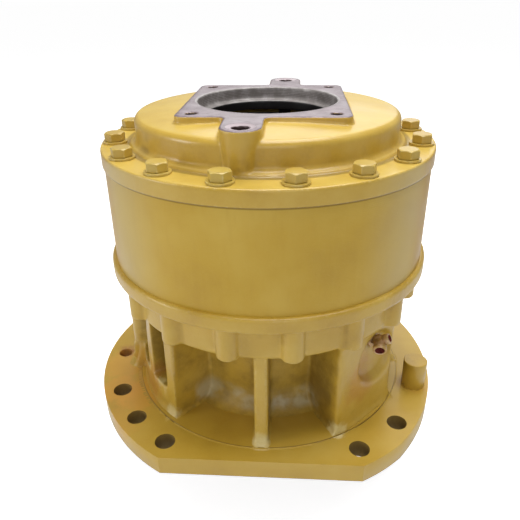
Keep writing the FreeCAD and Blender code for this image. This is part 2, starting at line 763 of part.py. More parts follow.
def housing_sill(body):
    """The sill below the windows on the left, with a flared foot."""
    sketch = section_sketch(body, "sill_sketch", -sill_angle)
    root = (tube_radius + lower_outer) / 2
    corners = [
        (root, plate_thick / 2),
        (sill_reach + sill_toe, plate_thick / 2),
        (sill_reach + sill_toe, plate_thick),
        (sill_reach, sill_height - cast_bend),
        (sill_reach - cast_bend, sill_height),
        (root, sill_height + sill_slope),
    ]
    draw(sketch, corners, {2: -sill_bend, 3: cast_bend})
    revolve(body, sketch, sill_sweep)


def drain_block(body):
    """The broad block on the right, with a flared foot and a round recess for the fittings."""
    plan = flat_sketch(body, "drain_plan", plate_thick / 2, drain_angle)
    root = (tube_radius + lower_outer) / 2
    inner = drain_half * root / drain_face
    corners = [
        (-inner, -root),
        (-drain_half, -drain_face),
        (drain_half, -drain_face),
        (inner, -root),
    ]
    draw(plan, corners)
    pad(body, plan, band_bottom + cast_bend - plate_thick / 2)
    foot = section_sketch(body, "drain_foot_section", drain_angle)
    corners = [
        (drain_face - cast_bend, plate_thick / 2),
        (drain_face + drain_foot, plate_thick / 2),
        (drain_face + drain_foot, cast_top),
        (drain_face, cast_top + drain_foot),
        (drain_face - cast_bend, cast_top + drain_foot),
    ]
    draw(foot, corners, {2: -drain_foot})
    pad(body, foot, 2 * drain_half, both_ways=True)
    recess = upright_sketch(body, "recess_sketch", drain_angle, drain_face - recess_depth)
    draw_circle(recess, recess_side, recess_height, recess_radius)
    pocket(body, recess, recess_depth + band_radius - drain_face + cast_bend, backwards=True)
    thread = upright_sketch(body, "drain_thread_sketch", drain_angle, drain_face - recess_depth)
    draw_circle(thread, fitting_side, fitting_height, fitting_thread + seat_fit)
    pocket(body, thread, fitting_depth + bolt_space)


def left_block(body):
    """The broad block on the left side, with rounded upright corners."""
    plan = flat_sketch(body, "left_plan", plate_thick / 2, left_angle)
    root = (tube_radius + lower_outer) / 2
    corners = [
        (-left_half, -root),
        (-left_half, left_corner - left_face),
        (left_corner - left_half, -left_face),
        (left_half - left_corner, -left_face),
        (left_half, left_corner - left_face),
        (left_half, -root),
    ]
    draw(plan, corners, {1: left_corner, 3: left_corner})
    pad(body, plan, lip_bottom - plate_thick / 2)
    foot = section_sketch(body, "left_foot_section", left_angle)
    toe = left_face + left_toe
    corners = [
        (left_face - left_corner, plate_thick / 2),
        (toe, plate_thick / 2),
        (toe, plate_thick),
        (left_face, sill_height),
        (left_face - left_corner, sill_height),
    ]
    draw(foot, corners, {2: -sill_bend})
    pad(body, foot, 2 * left_half, both_ways=True)


def mounting_holes():
    """Angle and radius of each hole in the flange."""
    holes = []
    for left, right in ((first_angle, first_angle), (left_second, right_second)):
        for place in (right, -left, 180 - right, left - 180):
            holes.append((place, mount_hole))
    holes.append((-side_angle, mount_hole))
    holes.append((side_angle - 180, mount_hole))
    holes.append((-dowel_angle, dowel_hole))
    return holes


def housing_holes(body):
    """The flats of the flange and every hole of the housing."""
    flats = flat_sketch(body, "flat_sketch", plate_thick)
    for side in (1, -1):
        near = side * plate_flat
        far = side * (plate_radius + cast_bend)
        corners = [(-plate_radius, near), (plate_radius, near), (plate_radius, far), (-plate_radius, far)]
        draw(flats, corners)
    near = side_edge - side_radius + side_radius * cosine(side_half)
    far = plate_radius + cast_bend
    edge = side_radius * sine(side_half)
    draw(flats, [(near, -edge), (far, -edge), (far, edge), (near, edge)], {3: -side_radius})
    pocket(body, flats, plate_thick + pilot_depth)
    holes = flat_sketch(body, "mount_sketch", plate_thick)
    for angle, radius in mounting_holes():
        x, y = around(mount_circle, angle)
        draw_circle(holes, x, y, radius)
    pocket(body, holes, plate_thick + pilot_depth)
    post = flat_sketch(body, "post_sketch", plate_thick)
    x, y = around(post_circle, post_angle)
    draw_circle(post, x, y, post_spigot + seat_fit)
    pocket(body, post, post_seat)
    threads = flat_sketch(body, "bolt_hole_sketch", lip_top)
    x, y = around(bolt_circle, bolt_phase)
    draw_circle(threads, x, y, bolt_radius + seat_fit)
    polar(body, pocket(body, threads, bolt_grip + bolt_space), bolt_count)
    screws = flat_sketch(body, "carrier_hole_sketch", carrier_plate - pilot_depth)
    draw_circle(screws, 0, carrier_bolt_circle, carrier_bolt_radius + seat_fit)
    depth = carrier_bolt_grip + bolt_space / 2
    polar(body, pocket(body, screws, depth, backwards=True), carrier_bolt_count)
    groove = section_sketch(body, "housing_groove_section")
    draw_groove(groove, lip_top, -1)
    revolve(body, groove, cut=True)


def draw_groove(sketch, face, side):
    """The square groove of a round seal, cut into a level face."""
    wide = seal_section + seat_fit
    bottom = as_size(face) + side * 2 * wide
    start = as_size(face) - side * wide
    corners = [
        (seal_circle - wide, start),
        (seal_circle + wide, start),
        (seal_circle + wide, bottom),
        (seal_circle - wide, bottom),
    ]
    draw(sketch, corners)


def locating_post():
    """The plain post on the flange, pressed in with a spigot."""
    body = new_body("locating_post")
    sketch = section_sketch(body, "post_section")
    corners = [
        (0, plate_thick - post_seat + seat_fit),
        (post_spigot, plate_thick - post_seat + seat_fit),
        (post_spigot, plate_thick),
        (post_radius, plate_thick),
        (post_radius, plate_thick + post_height - 1),
        (post_radius - 1, plate_thick + post_height),
        (0, plate_thick + post_height),
    ]
    draw(sketch, corners)
    revolve(body, sketch)
    x, y = around(post_circle, post_angle)
    body.Placement = Placement(Vector(x.value, y.value, 0), Rotation())
    return keep(body, "locating_post")


# Ring gear

def ring_gear():
    """The toothed ring between housing and cover, with registers and through holes."""
    blank = new_body("ring_blank")
    section = section_sketch(blank, "ring_section")
    tooth_tip = ring_pitch - addendum * gear_module
    register = register_radius + seat_fit
    depth = register_height + seat_fit
    core = tooth_tip - cast_bend
    corners = [
        (core, lip_top + depth),
        (register, lip_top + depth),
        (register, lip_top),
        (ring_radius, lip_top),
        (ring_radius, ring_top),
        (register, ring_top),
        (register, ring_top - depth),
        (core, ring_top - depth),
    ]
    draw(section, corners)
    revolve(blank, section)
    holes = flat_sketch(blank, "ring_hole_sketch", ring_top)
    x, y = around(bolt_circle, bolt_phase)
    draw_circle(holes, x, y, bolt_radius + bolt_play)
    polar(blank, pocket(blank, holes, ring_height), bolt_count)
    module = gear_module.value
    space = toothed_prism(ring_teeth.value, module, ring_pitch.value + dedendum.value * module,
                          tooth_tip.value, ring_height.value, 0.0, backlash.value / 2)
    tool = doc.addObject("Part::Feature", "ring_tooth_space")
    tool.Shape = space
    tool.Placement = Placement(Vector(0, 0, lip_top.value), Rotation())
    ring = doc.addObject("Part::Cut", "ring_gear")
    ring.Base = blank
    ring.Tool = tool
    return keep(ring, "ring_gear")


# Cover

def top_cover():
    """The cover with its dome, the motor pad and the two port bosses."""
    body = new_body("top_cover")
    section = section_sketch(body, "cover_section")
    core = motor_step - cast_bend
    corners = [
        (core, ring_top - register_height),
        (register_radius, ring_top - register_height),
        (register_radius, ring_top),
        (cover_radius, ring_top),
        (cover_radius, cover_top - lip_chamfer / 2),
        (cover_radius - lip_chamfer / 2, cover_top),
        (skirt_radius, cover_top),
        (skirt_radius, cover_top + skirt_height),
        (dome_radius, cover_top + skirt_height + skirt_bend),
        (dome_radius, dome_top - dome_bend),
        (dome_radius - dome_bend, dome_top),
        (core, dome_top + dome_rise),
    ]
    draw(section, corners, {7: -skirt_bend, 9: dome_bend})
    revolve(body, section)
    port_bosses(body)
    motor_pad(body)
    cover_inside(body)
    cover_holes(body)
    return keep(body, "top_cover")


def port_bosses(body):
    """An upright boss at each port that narrows downwards, with a flat neck to the pad."""
    half = pad_long / 2
    for name, turn in (("front", 0), ("back", 180)):
        post = flat_sketch(body, name + "_port_sketch", pad_top, turn)
        draw_circle(post, port_side, -port_reach, port_boss)
        column = pad(body, post, pad_top - cover_top, backwards=True)
        bind(column, "TaperAngle", -port_draft)
        neck = flat_sketch(body, name + "_neck_sketch", dome_top - roof_thick / 2, turn)
        left = port_side - port_boss
        right = port_side + port_boss
        corners = [
            (left, -port_reach),
            (right, -port_reach),
            (right, -half - port_bend),
            (right + port_bend, -half),
            (right + port_bend, -motor_bore),
            (left - port_bend, -motor_bore),
            (left - port_bend, -half),
            (left, -half - port_bend),
        ]
        draw(neck, corners, {2: -port_bend, 6: -port_bend})
        pad(body, neck, pad_rise + roof_thick / 2)


def motor_pad(body):
    """The pad with rounded corners that the motor is bolted to."""
    sketch = flat_sketch(body, "pad_sketch", dome_top - roof_thick / 2)
    wide = pad_wide / 2
    long = pad_long / 2
    corners = [
        (pad_corner - wide, -long), (wide - pad_corner, -long),
        (wide, pad_corner - long), (wide, long - pad_corner),
        (wide - pad_corner, long), (pad_corner - wide, long),
        (-wide, long - pad_corner), (-wide, pad_corner - long),
    ]
    draw(sketch, corners, {1: pad_corner, 3: pad_corner, 5: pad_corner, 7: pad_corner})
    pad(body, sketch, pad_rise + roof_thick / 2)


def cover_inside(body):
    """The motor's pilot bore, the opening below it and the hollow of the dome."""
    sketch = section_sketch(body, "cover_inside_section")
    low = ring_top - register_height
    seat = pad_top - motor_depth
    roof = dome_top - roof_thick
    wall = dome_radius - dome_wall
    groove = seat + 2 * motor_groove
    corners = [
        (0, low - cast_bend),
        (bowl_radius, low - cast_bend),
        (bowl_radius, ring_top),
        (wall, ring_top + 2 * cast_bend),
        (wall, roof - 3 * cast_bend),
        (wall - 3 * cast_bend, roof),
        (motor_step, roof),
        (motor_step, seat),
        (motor_bore, seat),
        (motor_bore, groove),
        (motor_bore + motor_groove, groove),
        (motor_bore + motor_groove, groove + motor_groove),
        (motor_bore, groove + motor_groove),
        (motor_bore, pad_top - 1),
        (motor_bore + 1, pad_top),
        (motor_bore + 1, pad_top + 1),
        (0, pad_top + 1),
    ]
    draw(sketch, corners)
    revolve(body, sketch, cut=True)


def cover_holes(body):
    """Bolt holes of the flange, threaded holes of the pad and of the ports, and the seal groove."""
    holes = flat_sketch(body, "cover_hole_sketch", cover_top)
    x, y = around(bolt_circle, bolt_phase)
    draw_circle(holes, x, y, bolt_radius + bolt_play)
    polar(body, pocket(body, holes, cover_thick), bolt_count)
    threads = flat_sketch(body, "motor_thread_sketch", pad_top)
    x = motor_across / 2
    y = motor_along / 2
    for side, end in ((1, 1), (-1, 1), (-1, -1), (1, -1)):
        draw_circle(threads, x * side, y * end, motor_thread)
    pocket(body, threads, motor_tap)
    ports = flat_sketch(body, "port_thread_sketch", pad_top)
    faces = flat_sketch(body, "port_face_sketch", pad_top)
    for end in (1, -1):
        draw_circle(ports, port_side * end, -port_reach * end, port_thread)
        draw_circle(faces, port_side * end, -port_reach * end, port_face)
    pocket(body, ports, port_tap)
    pocket(body, faces, port_sink)
    groove = section_sketch(body, "cover_groove_section")
    draw_groove(groove, ring_top, 1)
    revolve(body, groove, cut=True)


# Fastening of the casing

def casing_fasteners():
    """Bolts, washers and round seals of the two joints."""
    length = washer_thick + cover_thick + ring_height + bolt_grip
    bolt = hex_bolt(bolt_flats, bolt_head, bolt_radius, length)
    heads = circle_places(bolt_circle, bolt_count, bolt_phase, cover_top + washer_thick)
    group("cover_bolts", bolt, heads)
    washer = cylinder(washer_radius, washer_thick).cut(cylinder(bolt_radius + seat_fit, washer_thick))
    group("cover_washers", washer, circle_places(bolt_circle, bolt_count, bolt_phase, cover_top))
    for label, height in (("housing_seal_ring", lip_top), ("cover_seal_ring", ring_top)):
        side = -1 if label == "housing_seal_ring" else 1
        seal = doc.addObject("Part::Torus", label)
        bind(seal, "Radius1", seal_circle)
        bind(seal, "Radius2", seal_section)
        middle = height + side * (seal_section + seat_fit)
        bind(seal, "Placement.Base.z", middle)
        keep(seal, label)


# Output shaft

def output_shaft():
    """The pinion in one piece with its journals and its spline."""
    shaft = new_body("shaft_blank")
    section = section_sketch(shaft, "shaft_section")
    journal = lower_bore - seat_fit
    upper = upper_bore - seat_fit
    spline_root = spline_module * spline_teeth / 2 - spline_dedendum * spline_module
    nut_top = upper_seat + upper_width + nut_height
    corners = [
        (0, -pinion_top),
        (shaft_collar, -pinion_top),
        (shaft_collar, -pilot_depth - sleeve_thick),
        (journal, -pilot_depth - sleeve_thick),
        (journal, lower_seat + lower_width + cavity_step),
        (upper + sleeve_thick, lower_seat + lower_width + 4 * cavity_step),
        (upper + sleeve_thick, upper_seat),
        (upper, upper_seat),
        (upper, nut_top),
        (spline_root, nut_top + 2),
        (spline_root, shaft_end),
        (0, shaft_end),
    ]
    draw(section, corners)
    revolve(shaft, section)
    holes = flat_sketch(shaft, "shaft_hole_sketch", shaft_end)
    draw_circle(holes, 0, keeper_circle, keeper_bolt + seat_fit)
    polar(shaft, pocket(shaft, holes, keeper_grip + bolt_space / 2), keeper_count)
    module = pinion_module.value
    pitch = module * pinion_teeth.value / 2
    root = pitch - (pinion_dedendum.value - pinion_shift.value) * module
    pinion = toothed_prism(pinion_teeth.value, module, pinion_tip.value, root, pinion_width.value,
                           0.0, 0.0, pinion_shift.value, 4)
    teeth = doc.addObject("Part::Feature", "pinion_teeth_shape")
    teeth.Shape = pinion
    teeth.Placement = Placement(Vector(0, 0, value(-pinion_top - pinion_width)), Rotation())
    spline = doc.addObject("Part::Feature", "spline_shape")
    hollow = cylinder(spline_root - spline_module, spline_length)
    spline.Shape = spline_prism(0.0).cut(hollow)
    spline.Placement = Placement(Vector(0, 0, value(shaft_end - spline_length)), Rotation())
    fused = doc.addObject("Part::MultiFuse", "output_pinion_shaft")
    fused.Shapes = [shaft, teeth, spline]
    return keep(fused, "output_pinion_shaft")


def spline_prism(wider, deeper=0.0, longer=0.0):
    """The coarse spline of shaft and second carrier, or its space when wider, deeper and longer."""
    module = spline_module.value
    pitch = module * spline_teeth.value / 2
    tip = pitch + spline_addendum.value * module + deeper
    root = pitch - spline_dedendum.value * module + deeper
    return toothed_prism(spline_teeth.value, module, tip, root, spline_length.value + longer, 0.0,
                         2 * wider, 0.0, 1)


def roller_bearing(name, seat, width, bore, outer, pitch):
    """Outer race, inner race, rollers and cage of one bearing."""
    seat = as_size(seat)
    top = seat + width
    lip = race_thick / 3
    edge = width / 8
    track = outer - race_thick
    corners = [
        (track - lip, seat),
        (outer, seat),
        (outer, top),
        (track - lip, top),
        (track - lip, top - edge),
        (track, top - edge),
        (track, seat + edge),
        (track - lip, seat + edge),
    ]
    keep(turned_piece(name + "_outer_race", corners), name + "_outer_race")
    ring_piece(name + "_inner_race", bore, bore + race_thick, seat, top)
    roller_radius = (outer - bore) / 2 - race_thick - rolling_fit
    length = width - 2 * edge - 2 * rolling_fit
    roller = cylinder(roller_radius, length)
    places = circle_places(pitch, roller_count, 0.0, seat + edge + rolling_fit)
    group(name + "_rollers", roller, places)
    cage = turned_cage(name, seat + edge + rolling_fit, length, pitch, roller_radius)
    return keep(cage, name + "_cage")


def turned_cage(name, bottom, length, pitch, roller_radius):
    """A cage: a thin ring with a window for each roller."""
    body = new_body(name + "_cage_body")
    sketch = section_sketch(body, name + "_cage_section")
    inner = pitch - cage_thick / 2
    outer = pitch + cage_thick / 2
    low = bottom - cage_margin
    high = bottom + length + cage_margin
    draw(sketch, [(inner, low), (outer, low), (outer, high), (inner, high)])
    revolve(body, sketch)
    window = upright_sketch(body, name + "_window_sketch", 0.0, inner - cage_thick)
    half = roller_radius + rolling_fit
    corners = [
        (-half, bottom - rolling_fit),
        (half, bottom - rolling_fit),
        (half, bottom + length + rolling_fit),
        (-half, bottom + length + rolling_fit),
    ]
    draw(window, corners)
    cut = pocket(body, window, 3 * cage_thick, backwards=True)
    pattern = body.newObject("PartDesign::PolarPattern", name + "_windows")
    pattern.Originals = [cut]
    pattern.Axis = (sketch, ["V_Axis"])
    pattern.Angle = 360
    bind(pattern, "Occurrences", roller_count)
    body.Tip = pattern
    return body


def shaft_parts():
    """Bearings, nut, sleeve, seal and seal carrier of the output shaft."""
    roller_bearing("lower_bearing", lower_seat, lower_width, lower_bore, lower_outer, lower_pitch)
    roller_bearing("upper_bearing", upper_seat, upper_width, upper_bore, upper_outer, upper_pitch)
    sleeve_outer = lower_bore + sleeve_thick
    sleeve_bottom = -pilot_depth - sleeve_thick
    ring_piece("seal_sleeve", lower_bore, sleeve_outer, sleeve_bottom, lower_seat)
    seal_bottom = -pilot_depth
    seal_inner = sleeve_outer + running_fit
    ring_piece("output_seal", seal_inner, lip_seal_outer, seal_bottom, seal_bottom + lip_seal)
    bearing_nut()
    seal_carrier()


def bearing_nut():
    """The slotted nut that holds the upper bearing on the shaft."""
    body = new_body("bearing_nut")
    bottom = upper_seat + upper_width
    sketch = section_sketch(body, "nut_section")
    corners = [
        (upper_bore, bottom),
        (nut_radius, bottom),
        (nut_radius, bottom + nut_height),
        (upper_bore, bottom + nut_height),
    ]
    draw(sketch, corners)
    revolve(body, sketch)
    slots = flat_sketch(body, "nut_slot_sketch", bottom + nut_height)
    half = nut_slot / 2
    deep = nut_radius - nut_slot / 2
    corners = [(-half, -nut_radius - 1), (half, -nut_radius - 1), (half, -deep), (-half, -deep)]
    draw(slots, corners)
    polar(body, pocket(body, slots, nut_height), 4)
    return keep(body, "bearing_nut")


def seal_carrier():
    """The ring that closes the lower bearing and holds the lip seal, with its screws."""
    body = new_body("seal_carrier")
    sketch = section_sketch(body, "seal_carrier_section")
    bottom = -pilot_depth
    web = lower_bore + sleeve_thick + 2
    seal_wall = lip_seal_outer + seat_fit
    corners = [
        (seal_wall, bottom),
        (carrier_radius, bottom),
        (carrier_radius, bottom + carrier_plate),
        (lower_outer, bottom + carrier_plate),
        (lower_outer, lower_seat),
        (lower_outer - race_thick, lower_seat),
        (lower_outer - race_thick, bottom + lip_seal + 3),
        (web, bottom + lip_seal + 3),
        (web, bottom + lip_seal),
        (seal_wall, bottom + lip_seal),
    ]
    draw(sketch, corners)
    revolve(body, sketch)
    deep = flat_sketch(body, "carrier_head_sketch", bottom)
    draw_circle(deep, 0, carrier_bolt_circle, carrier_head_radius + seat_fit)
    polar(body, pocket(body, deep, carrier_head_height, backwards=True), carrier_bolt_count)
    through = flat_sketch(body, "carrier_bolt_sketch", bottom)
    draw_circle(through, 0, carrier_bolt_circle, carrier_bolt_radius + bolt_play)
    polar(body, pocket(body, through, carrier_plate, backwards=True), carrier_bolt_count)
    keep(body, "seal_carrier")
    length = carrier_plate - carrier_head_height + carrier_bolt_grip
    screw = socket_screw(carrier_head_radius, carrier_head_height, carrier_bolt_radius, length)
    places = circle_places(carrier_bolt_circle, carrier_bolt_count, 180.0, bottom + carrier_head_height)
    group("seal_carrier_screws", screw, places)


# Planet carriers

def carrier_blank(name, base, floor, roof, top, rim, hub, hub_bottom, orbit, pin, count):
    """Two cheeks joined by pillars between the planets, with holes for the pins."""
    body = new_body(name + "_blank")
    sketch = section_sketch(body, name + "_lower_section")
    corners = [(0, hub_bottom), (hub, hub_bottom), (hub, base), (rim, base), (rim, floor), (0, floor)]
    draw(sketch, corners)
    revolve(body, sketch)
    pillars = flat_sketch(body, name + "_pillar_sketch", floor)
    x, y = around(rim - pillar_radius - pillar_edge, 180 / count)
    draw_circle(pillars, x, y, pillar_radius)
    polar(body, pad(body, pillars, roof - floor), count)
    upper = section_sketch(body, name + "_upper_section")
    window = ring_pitch - 2 * (ring_pitch - orbit) + gear_module * 2
    draw(upper, [(window, roof), (rim, roof), (rim, top), (window, top)])
    revolve(body, upper)
    pins = flat_sketch(body, name + "_pin_sketch", top)
    x, y = around(orbit, 0)
    draw_circle(pins, x, y, pin + seat_fit)
    polar(body, pocket(body, pins, top - base), count)
    return body


def stage_pins(label, orbit, pin, count, bottom, top):
    """The pins of one stage."""
    margin = value(seat_fit)
    shape = cylinder(pin, value(top - bottom) - 2 * margin, margin)
    group(label, shape, circle_places(orbit, count, 0.0, bottom))


def stage_planets(label, teeth, orbit, pin, count, width, floor):
    """The planets of one stage with their bearing sleeves and thrust washers."""
    places = circle_places(orbit, count, 0.0, floor + thrust_thick + axial_play)
    bore = pin + running_fit + bush_thick + seat_fit
    wheel = stage_gear(teeth, width).cut(cylinder(bore, width))
    sleeve = cylinder(pin + running_fit + bush_thick, width).cut(cylinder(pin + running_fit, width))
    for number, place in enumerate(places):
        mesh_turn = planet_turn(teeth, number * 360.0 / len(places))
        turned = place.multiply(Placement(Vector(), Rotation(Vector(0, 0, 1), mesh_turn)))
        shape_piece("%s_planet_%d" % (label, number + 1), wheel, turned)
        shape_piece("%s_planet_sleeve_%d" % (label, number + 1), sleeve, place)
    washer = cylinder(pin + thrust_width, thrust_thick)
    washer = washer.cut(cylinder(pin + running_fit, thrust_thick))
    low = circle_places(orbit, count, 0.0, floor)
    high = circle_places(orbit, count, 0.0, floor + thrust_thick + width + 2 * axial_play)
    group(label + "_thrust_washers", washer, low + high)


def planet_turn(teeth, angle):
    """How far a planet is turned from facing outwards so that it meshes with the ring gear."""
    pitch = 360.0 / ring_teeth.value
    nearest = round(angle / pitch) * pitch
    return (nearest - angle) * ring_teeth.value / value(teeth)


def second_stage():
    """Second carrier, its keeper, pins, planets and sun."""
    blank = carrier_blank("second_carrier", second_base, second_floor, second_roof,
                          second_roof + second_cover, second_rim, second_hub,
                          shaft_end - spline_length, second_orbit, second_pin, second_count)
    keeper_seat = new_body("second_carrier_seat")
    section = section_sketch(keeper_seat, "second_seat_section")
    room = keeper_radius + seat_fit
    draw(section, [(0, shaft_end), (room, shaft_end), (room, second_floor + 1), (0, second_floor + 1)])
    revolve(keeper_seat, section)
    space = doc.addObject("Part::Feature", "carrier_spline_space")
    space.Shape = spline_prism(seat_fit.value, rolling_fit.value, 2 * cage_margin.value)
    space.Placement = Placement(Vector(0, 0, value(shaft_end - spline_length - cage_margin)), Rotation())
    cutters = doc.addObject("Part::MultiFuse", "second_carrier_cutters")
    cutters.Shapes = [keeper_seat, space]
    carrier = doc.addObject("Part::Cut", "second_carrier")
    carrier.Base = blank
    carrier.Tool = cutters
    keep(carrier, "second_carrier")
    stage_pins("second_planet_pins", second_orbit, second_pin, second_count,
               second_base, second_roof + second_cover)
    stage_planets("second", second_teeth, second_orbit, second_pin, second_count,
                  second_width, second_floor)
    keeper_plate()
    sun_bottom = second_floor + thrust_thick
    height = first_floor - sun_bottom
    half_pitch = 180.0 / second_sun_teeth.value
    sun = stage_gear(second_sun_teeth, height, half_pitch)
    shape_piece("second_sun", sun, Placement(Vector(0, 0, sun_bottom.value), Rotation()))


def keeper_plate():
    """The plate on the shaft's end that holds the second carrier, and its bolts."""
    body = new_body("carrier_keeper")
    sketch = section_sketch(body, "keeper_section")
    top = shaft_end + keeper_thick
    draw(sketch, [(0, shaft_end), (keeper_radius, shaft_end), (keeper_radius, top), (0, top)])
    revolve(body, sketch)
    holes = flat_sketch(body, "keeper_hole_sketch", top)
    draw_circle(holes, 0, keeper_circle, keeper_bolt + bolt_play)
    polar(body, pocket(body, holes, keeper_thick), keeper_count)
    keep(body, "carrier_keeper")
    bolt = hex_bolt(3 * keeper_bolt, keeper_head, keeper_bolt, keeper_thick + keeper_grip)
    group("keeper_bolts", bolt, circle_places(keeper_circle, keeper_count, 180.0, top))


def first_stage():
    """First carrier, its pins, planets, the input sun and its thrust button."""
    blank = carrier_blank("first_carrier", first_base, first_floor, first_roof,
                          first_roof + first_cover, first_rim, first_rim / 2,
                          first_base - first_hub, first_orbit, first_pin, first_count)
    half_pitch = 180.0 / second_sun_teeth.value
    module = gear_module.value
    pitch = module * second_sun_teeth.value / 2
    gap = seat_fit.value
    bottom = first_base - first_hub - axial_play
    height = first_floor + axial_play - bottom
    tip = pitch + addendum.value * module + rolling_fit.value
    root = pitch - dedendum.value * module + rolling_fit.value
    space = doc.addObject("Part::Feature", "first_spline_space")
    space.Shape = toothed_prism(second_sun_teeth.value, module, tip, root, height.value, half_pitch,
                                2 * gap - backlash.value / 2)
    space.Placement = Placement(Vector(0, 0, bottom.value), Rotation())
    carrier = doc.addObject("Part::Cut", "first_carrier")
    carrier.Base = blank
    carrier.Tool = space
    keep(carrier, "first_carrier")
    stage_pins("first_planet_pins", first_orbit, first_pin, first_count,
               first_base, first_roof + first_cover)
    stage_planets("first", first_teeth, first_orbit, first_pin, first_count,
                  first_width, first_floor)
    input_sun()


def input_sun():
    """The input sun with the motor's spline bore, and the button that it rests on."""
    bottom = first_floor + thrust_thick
    half_pitch = 180.0 / first_sun_teeth.value
    height = sun_top - bottom
    bore_pitch = input_module.value * input_teeth.value / 2
    spline = toothed_prism(input_teeth.value, input_module.value, bore_pitch + input_depth.value,
                           bore_pitch - input_depth.value, value(height), 0.0,
                           2 * seat_fit.value, 0.0, 1)
    sun = stage_gear(first_sun_teeth, height, half_pitch).cut(spline)
    shape_piece("input_sun", sun, Placement(Vector(0, 0, bottom.value), Rotation()))
    ring_piece("thrust_button", 0, button_radius, first_floor, bottom - axial_play)


# Drain fittings

def face_place(side, height, distance, turn=0.0):
    """A place on the drain block's face: its Z points outwards, turned about the upright."""
    angle = drain_angle.value
    x, y = around(distance, angle)
    across = Vector(math.cos(math.radians(angle)), math.sin(math.radians(angle)), 0)
    point = Vector(x.value, y.value, value(height)) + across * value(side)
    outwards = Rotation(Vector(0, 0, 1), angle + value(turn)).multiply(Rotation(Vector(1, 0, 0), 90))
    return Placement(point, outwards)


def drain_fittings():
    """A hexagon adapter in the recess, an elbow with an open arm, and a side nipple."""
    floor = drain_face - recess_depth
    adapter = hexagon(fitting_flats, fitting_hex)
    adapter = adapter.fuse(cylinder(fitting_thread, fitting_depth, -fitting_depth))
    bore = cylinder(fitting_bore, fitting_depth + fitting_hex, -fitting_depth)
    place = face_place(fitting_side, fitting_height, floor)
    shape_piece("drain_adapter", adapter.cut(bore), place)
    neck = value(elbow_reach - fitting_hex)
    down = Rotation(Vector(1, 0, 0), elbow_turn.value)
    aside = Rotation(Vector(0, 1, 0), nipple_turn.value)
    arm = turned_by(cylinder(elbow_radius, elbow_arm), down)
    arm_hole = turned_by(cylinder(fitting_bore, elbow_arm), down)
    stem = cylinder(elbow_radius, neck, -neck)
    stem_hole = cylinder(fitting_bore, neck, -neck)
    socket = turned_by(cylinder(nipple_radius * stub_share + seat_fit, 2 * elbow_radius), aside)
    stub = turned_by(cylinder(elbow_radius * stub_share, elbow_stub), aside)
    elbow = Part.makeSphere(elbow_radius.value).fuse([stem, arm, stub])
    elbow = elbow.cut([arm_hole, stem_hole, socket])
    centre = face_place(fitting_side, fitting_height, floor + elbow_reach)
    shape_piece("drain_elbow", elbow, centre)
    side_nipple(centre)


def turned_by(shape, rotation):
    """A copy of a shape, turned about the origin."""
    copy = shape.copy()
    copy.Placement = Placement(Vector(), rotation)
    return copy


def side_nipple(centre):
    """The small hexagon nipple on the elbow's side."""
    stand = value(elbow_stub) + value(axial_play)
    nipple = hexagon(nipple_flats, nipple_hex)
    nipple = nipple.fuse(cylinder(nipple_radius, nipple_arm))
    nipple = nipple.fuse(cylinder(nipple_radius * stub_share, nipple_hex, -nipple_hex))
    nipple = nipple.cut(cylinder(nipple_bore, nipple_arm + elbow_radius, -elbow_radius))
    turn = Rotation(Vector(0, 1, 0), nipple_turn.value)
    local = Placement(turn.multVec(Vector(0, 0, stand)), turn)
    shape_piece("drain_nipple", nipple, centre.multiply(local))


# The whole gearbox

def save_pieces():
    """Check every object and write each piece."""
    doc.recompute()
    for item in doc.Objects:
        if "Invalid" in item.State or "Error" in item.State:
            raise RuntimeError("%s failed: %s" % (item.Label, item.State))
    for item in nodes:
        if item.Shape.isNull() or not item.Shape.isValid():
            raise RuntimeError("%s has no valid shape" % item.Label)
        item.Shape.exportStep("parts/%s.step" % item.Label)
        print("%-28s %3d solids %10.0f mm3" % (item.Label, len(item.Shape.Solids), item.Shape.Volume))


lower_housing()
locating_post()
ring_gear()
top_cover()
casing_fasteners()
output_shaft()
shaft_parts()
second_stage()
first_stage()
drain_fittings()
save_pieces()
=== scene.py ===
# %% [markdown]
# # Dressing a swing gearbox
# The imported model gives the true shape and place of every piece: the ribbed lower housing, the ring
# gear, the cover with its motor pad, and the two planet stages inside. This lesson gives each piece
# the surface of the real one. The castings get the soft corners that sand moulding leaves, the paint
# gets its clouds, dirt and worn edges, and the cut faces get their tool marks.

# %% Load the frame
import json
import math
from contextlib import contextmanager
from functools import reduce

import bmesh
import bpy
import numpy as np
from mathutils import Matrix, Vector
from mathutils.bvhtree import BVHTree
from mathutils.kdtree import KDTree


